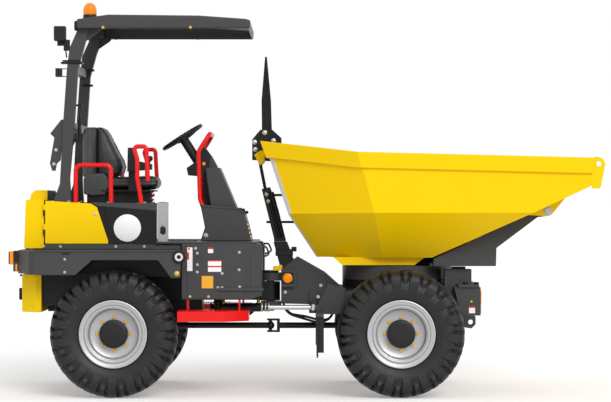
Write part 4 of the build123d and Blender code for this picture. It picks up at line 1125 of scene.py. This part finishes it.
dress({
    "guardBolts": {
        "paint": "zinc", "mirror": True, "turned": [(bossProfile, place, 24) for place in bossPlaces],
    },
    "rearLip": {"paint": "yellowPaint", "edge": 5, "mirror": True, "outlines": [(lipCurve, -300, -62)]},
    "guardTubes": {
        "paint": "glossBlack", "sharp": 60, "mirror": True,
        "bars": [([(x, -34, 1462), (x + 87, -34, 1122)], 17) for x in (-281, -253)],
    },
    "guardFoot": {"paint": "glossBlack", "sharp": 0, "boxes": [(-233, -145, -46, 46, 1098, 1118)]},
    "bladeRibs": {"paint": "glossBlack", "edge": 2, "outlines": [(bladeLine, -29, 29)]},
}, "skip")


# Metres: half the floor's width, and the camera's place.
stageSpec = {
    "half": 300.0, "floorColour": (0.95, 0.95, 0.95), "floorGlow": 0.25, "worldStrength": 0.6,
    "sunStrength": 1.65, "sunAngle": 30.0, "sunWay": (-0.3, 0.82, -0.48),
    "lens": 142.06, "sensor": 36.0, "camera": (0, -17.9, 1.396), "reach": 1000,
}


def seenFrom(tree, hidden, shown, target):
    # One value for light that falls on the object, another for rays that see the background itself.
    ray = tree.nodes.new("ShaderNodeLightPath").outputs
    seen = mathNode(tree, "MAXIMUM", ray["Is Camera Ray"], ray["Is Glossy Ray"])
    seen = mathNode(tree, "MAXIMUM", seen, ray["Is Transmission Ray"])
    strength = addNode(tree, "ShaderNodeMapRange", {"To Min": hidden, "To Max": shown, "Value": seen})
    feed(tree, target, strength.outputs[0])


def makeFloor():
    # A flat floor, large enough to reach past every view.
    half = stageSpec["half"]
    corners = [(-half, -half, -0.001), (half, -half, -0.001), (half, half, -0.001), (-half, half, -0.001)]
    mesh = bpy.data.meshes.new("studioFloor")
    mesh.from_pydata(corners, [], [(0, 1, 2, 3)])
    floor = bpy.data.objects.new("studioFloor", mesh)
    bpy.context.scene.collection.objects.link(floor)
    material = bpy.data.materials.new("floorPaper")
    material.use_nodes = True
    shader = material.node_tree.nodes["Principled BSDF"].inputs
    shader["Base Color"].default_value = (*stageSpec["floorColour"], 1)
    shader["Roughness"].default_value = 1.0
    shader["Specular IOR Level"].default_value = 0.0
    shader["Emission Color"].default_value = (1, 1, 1, 1)
    seenFrom(material.node_tree, 0.0, stageSpec["floorGlow"], shader["Emission Strength"])
    mesh.materials.append(material)


def makeWorld():
    world = bpy.data.worlds.new("studioWorld")
    bpy.context.scene.world = world
    world.use_nodes = True
    background = world.node_tree.nodes["Background"].inputs
    background["Color"].default_value = (1, 1, 1, 1)
    seenFrom(world.node_tree, stageSpec["worldStrength"], 1.0, background["Strength"])


def addSun():
    # One broad soft sun, shining along the given direction.
    sun = bpy.data.lights.new("softSun", "SUN")
    sun.energy = stageSpec["sunStrength"]
    sun.angle = np.radians(stageSpec["sunAngle"])
    holder = bpy.data.objects.new("softSun", sun)
    bpy.context.scene.collection.objects.link(holder)
    holder.rotation_euler = Vector(stageSpec["sunWay"]).to_track_quat("-Z", "Y").to_euler()


def addCamera():
    data = bpy.data.cameras.new("studioCamera")
    data.lens = stageSpec["lens"]
    data.sensor_width = stageSpec["sensor"]
    data.clip_end = stageSpec["reach"]
    camera = bpy.data.objects.new("studioCamera", data)
    camera.location = stageSpec["camera"]
    camera.rotation_euler = (np.pi / 2, 0, 0)
    bpy.context.scene.collection.objects.link(camera)
    bpy.context.scene.camera = camera


print("setting the stage")
makeFloor()
makeWorld()
addSun()
addCamera()
bpy.context.scene.view_settings.view_transform = "Standard"

print("done")
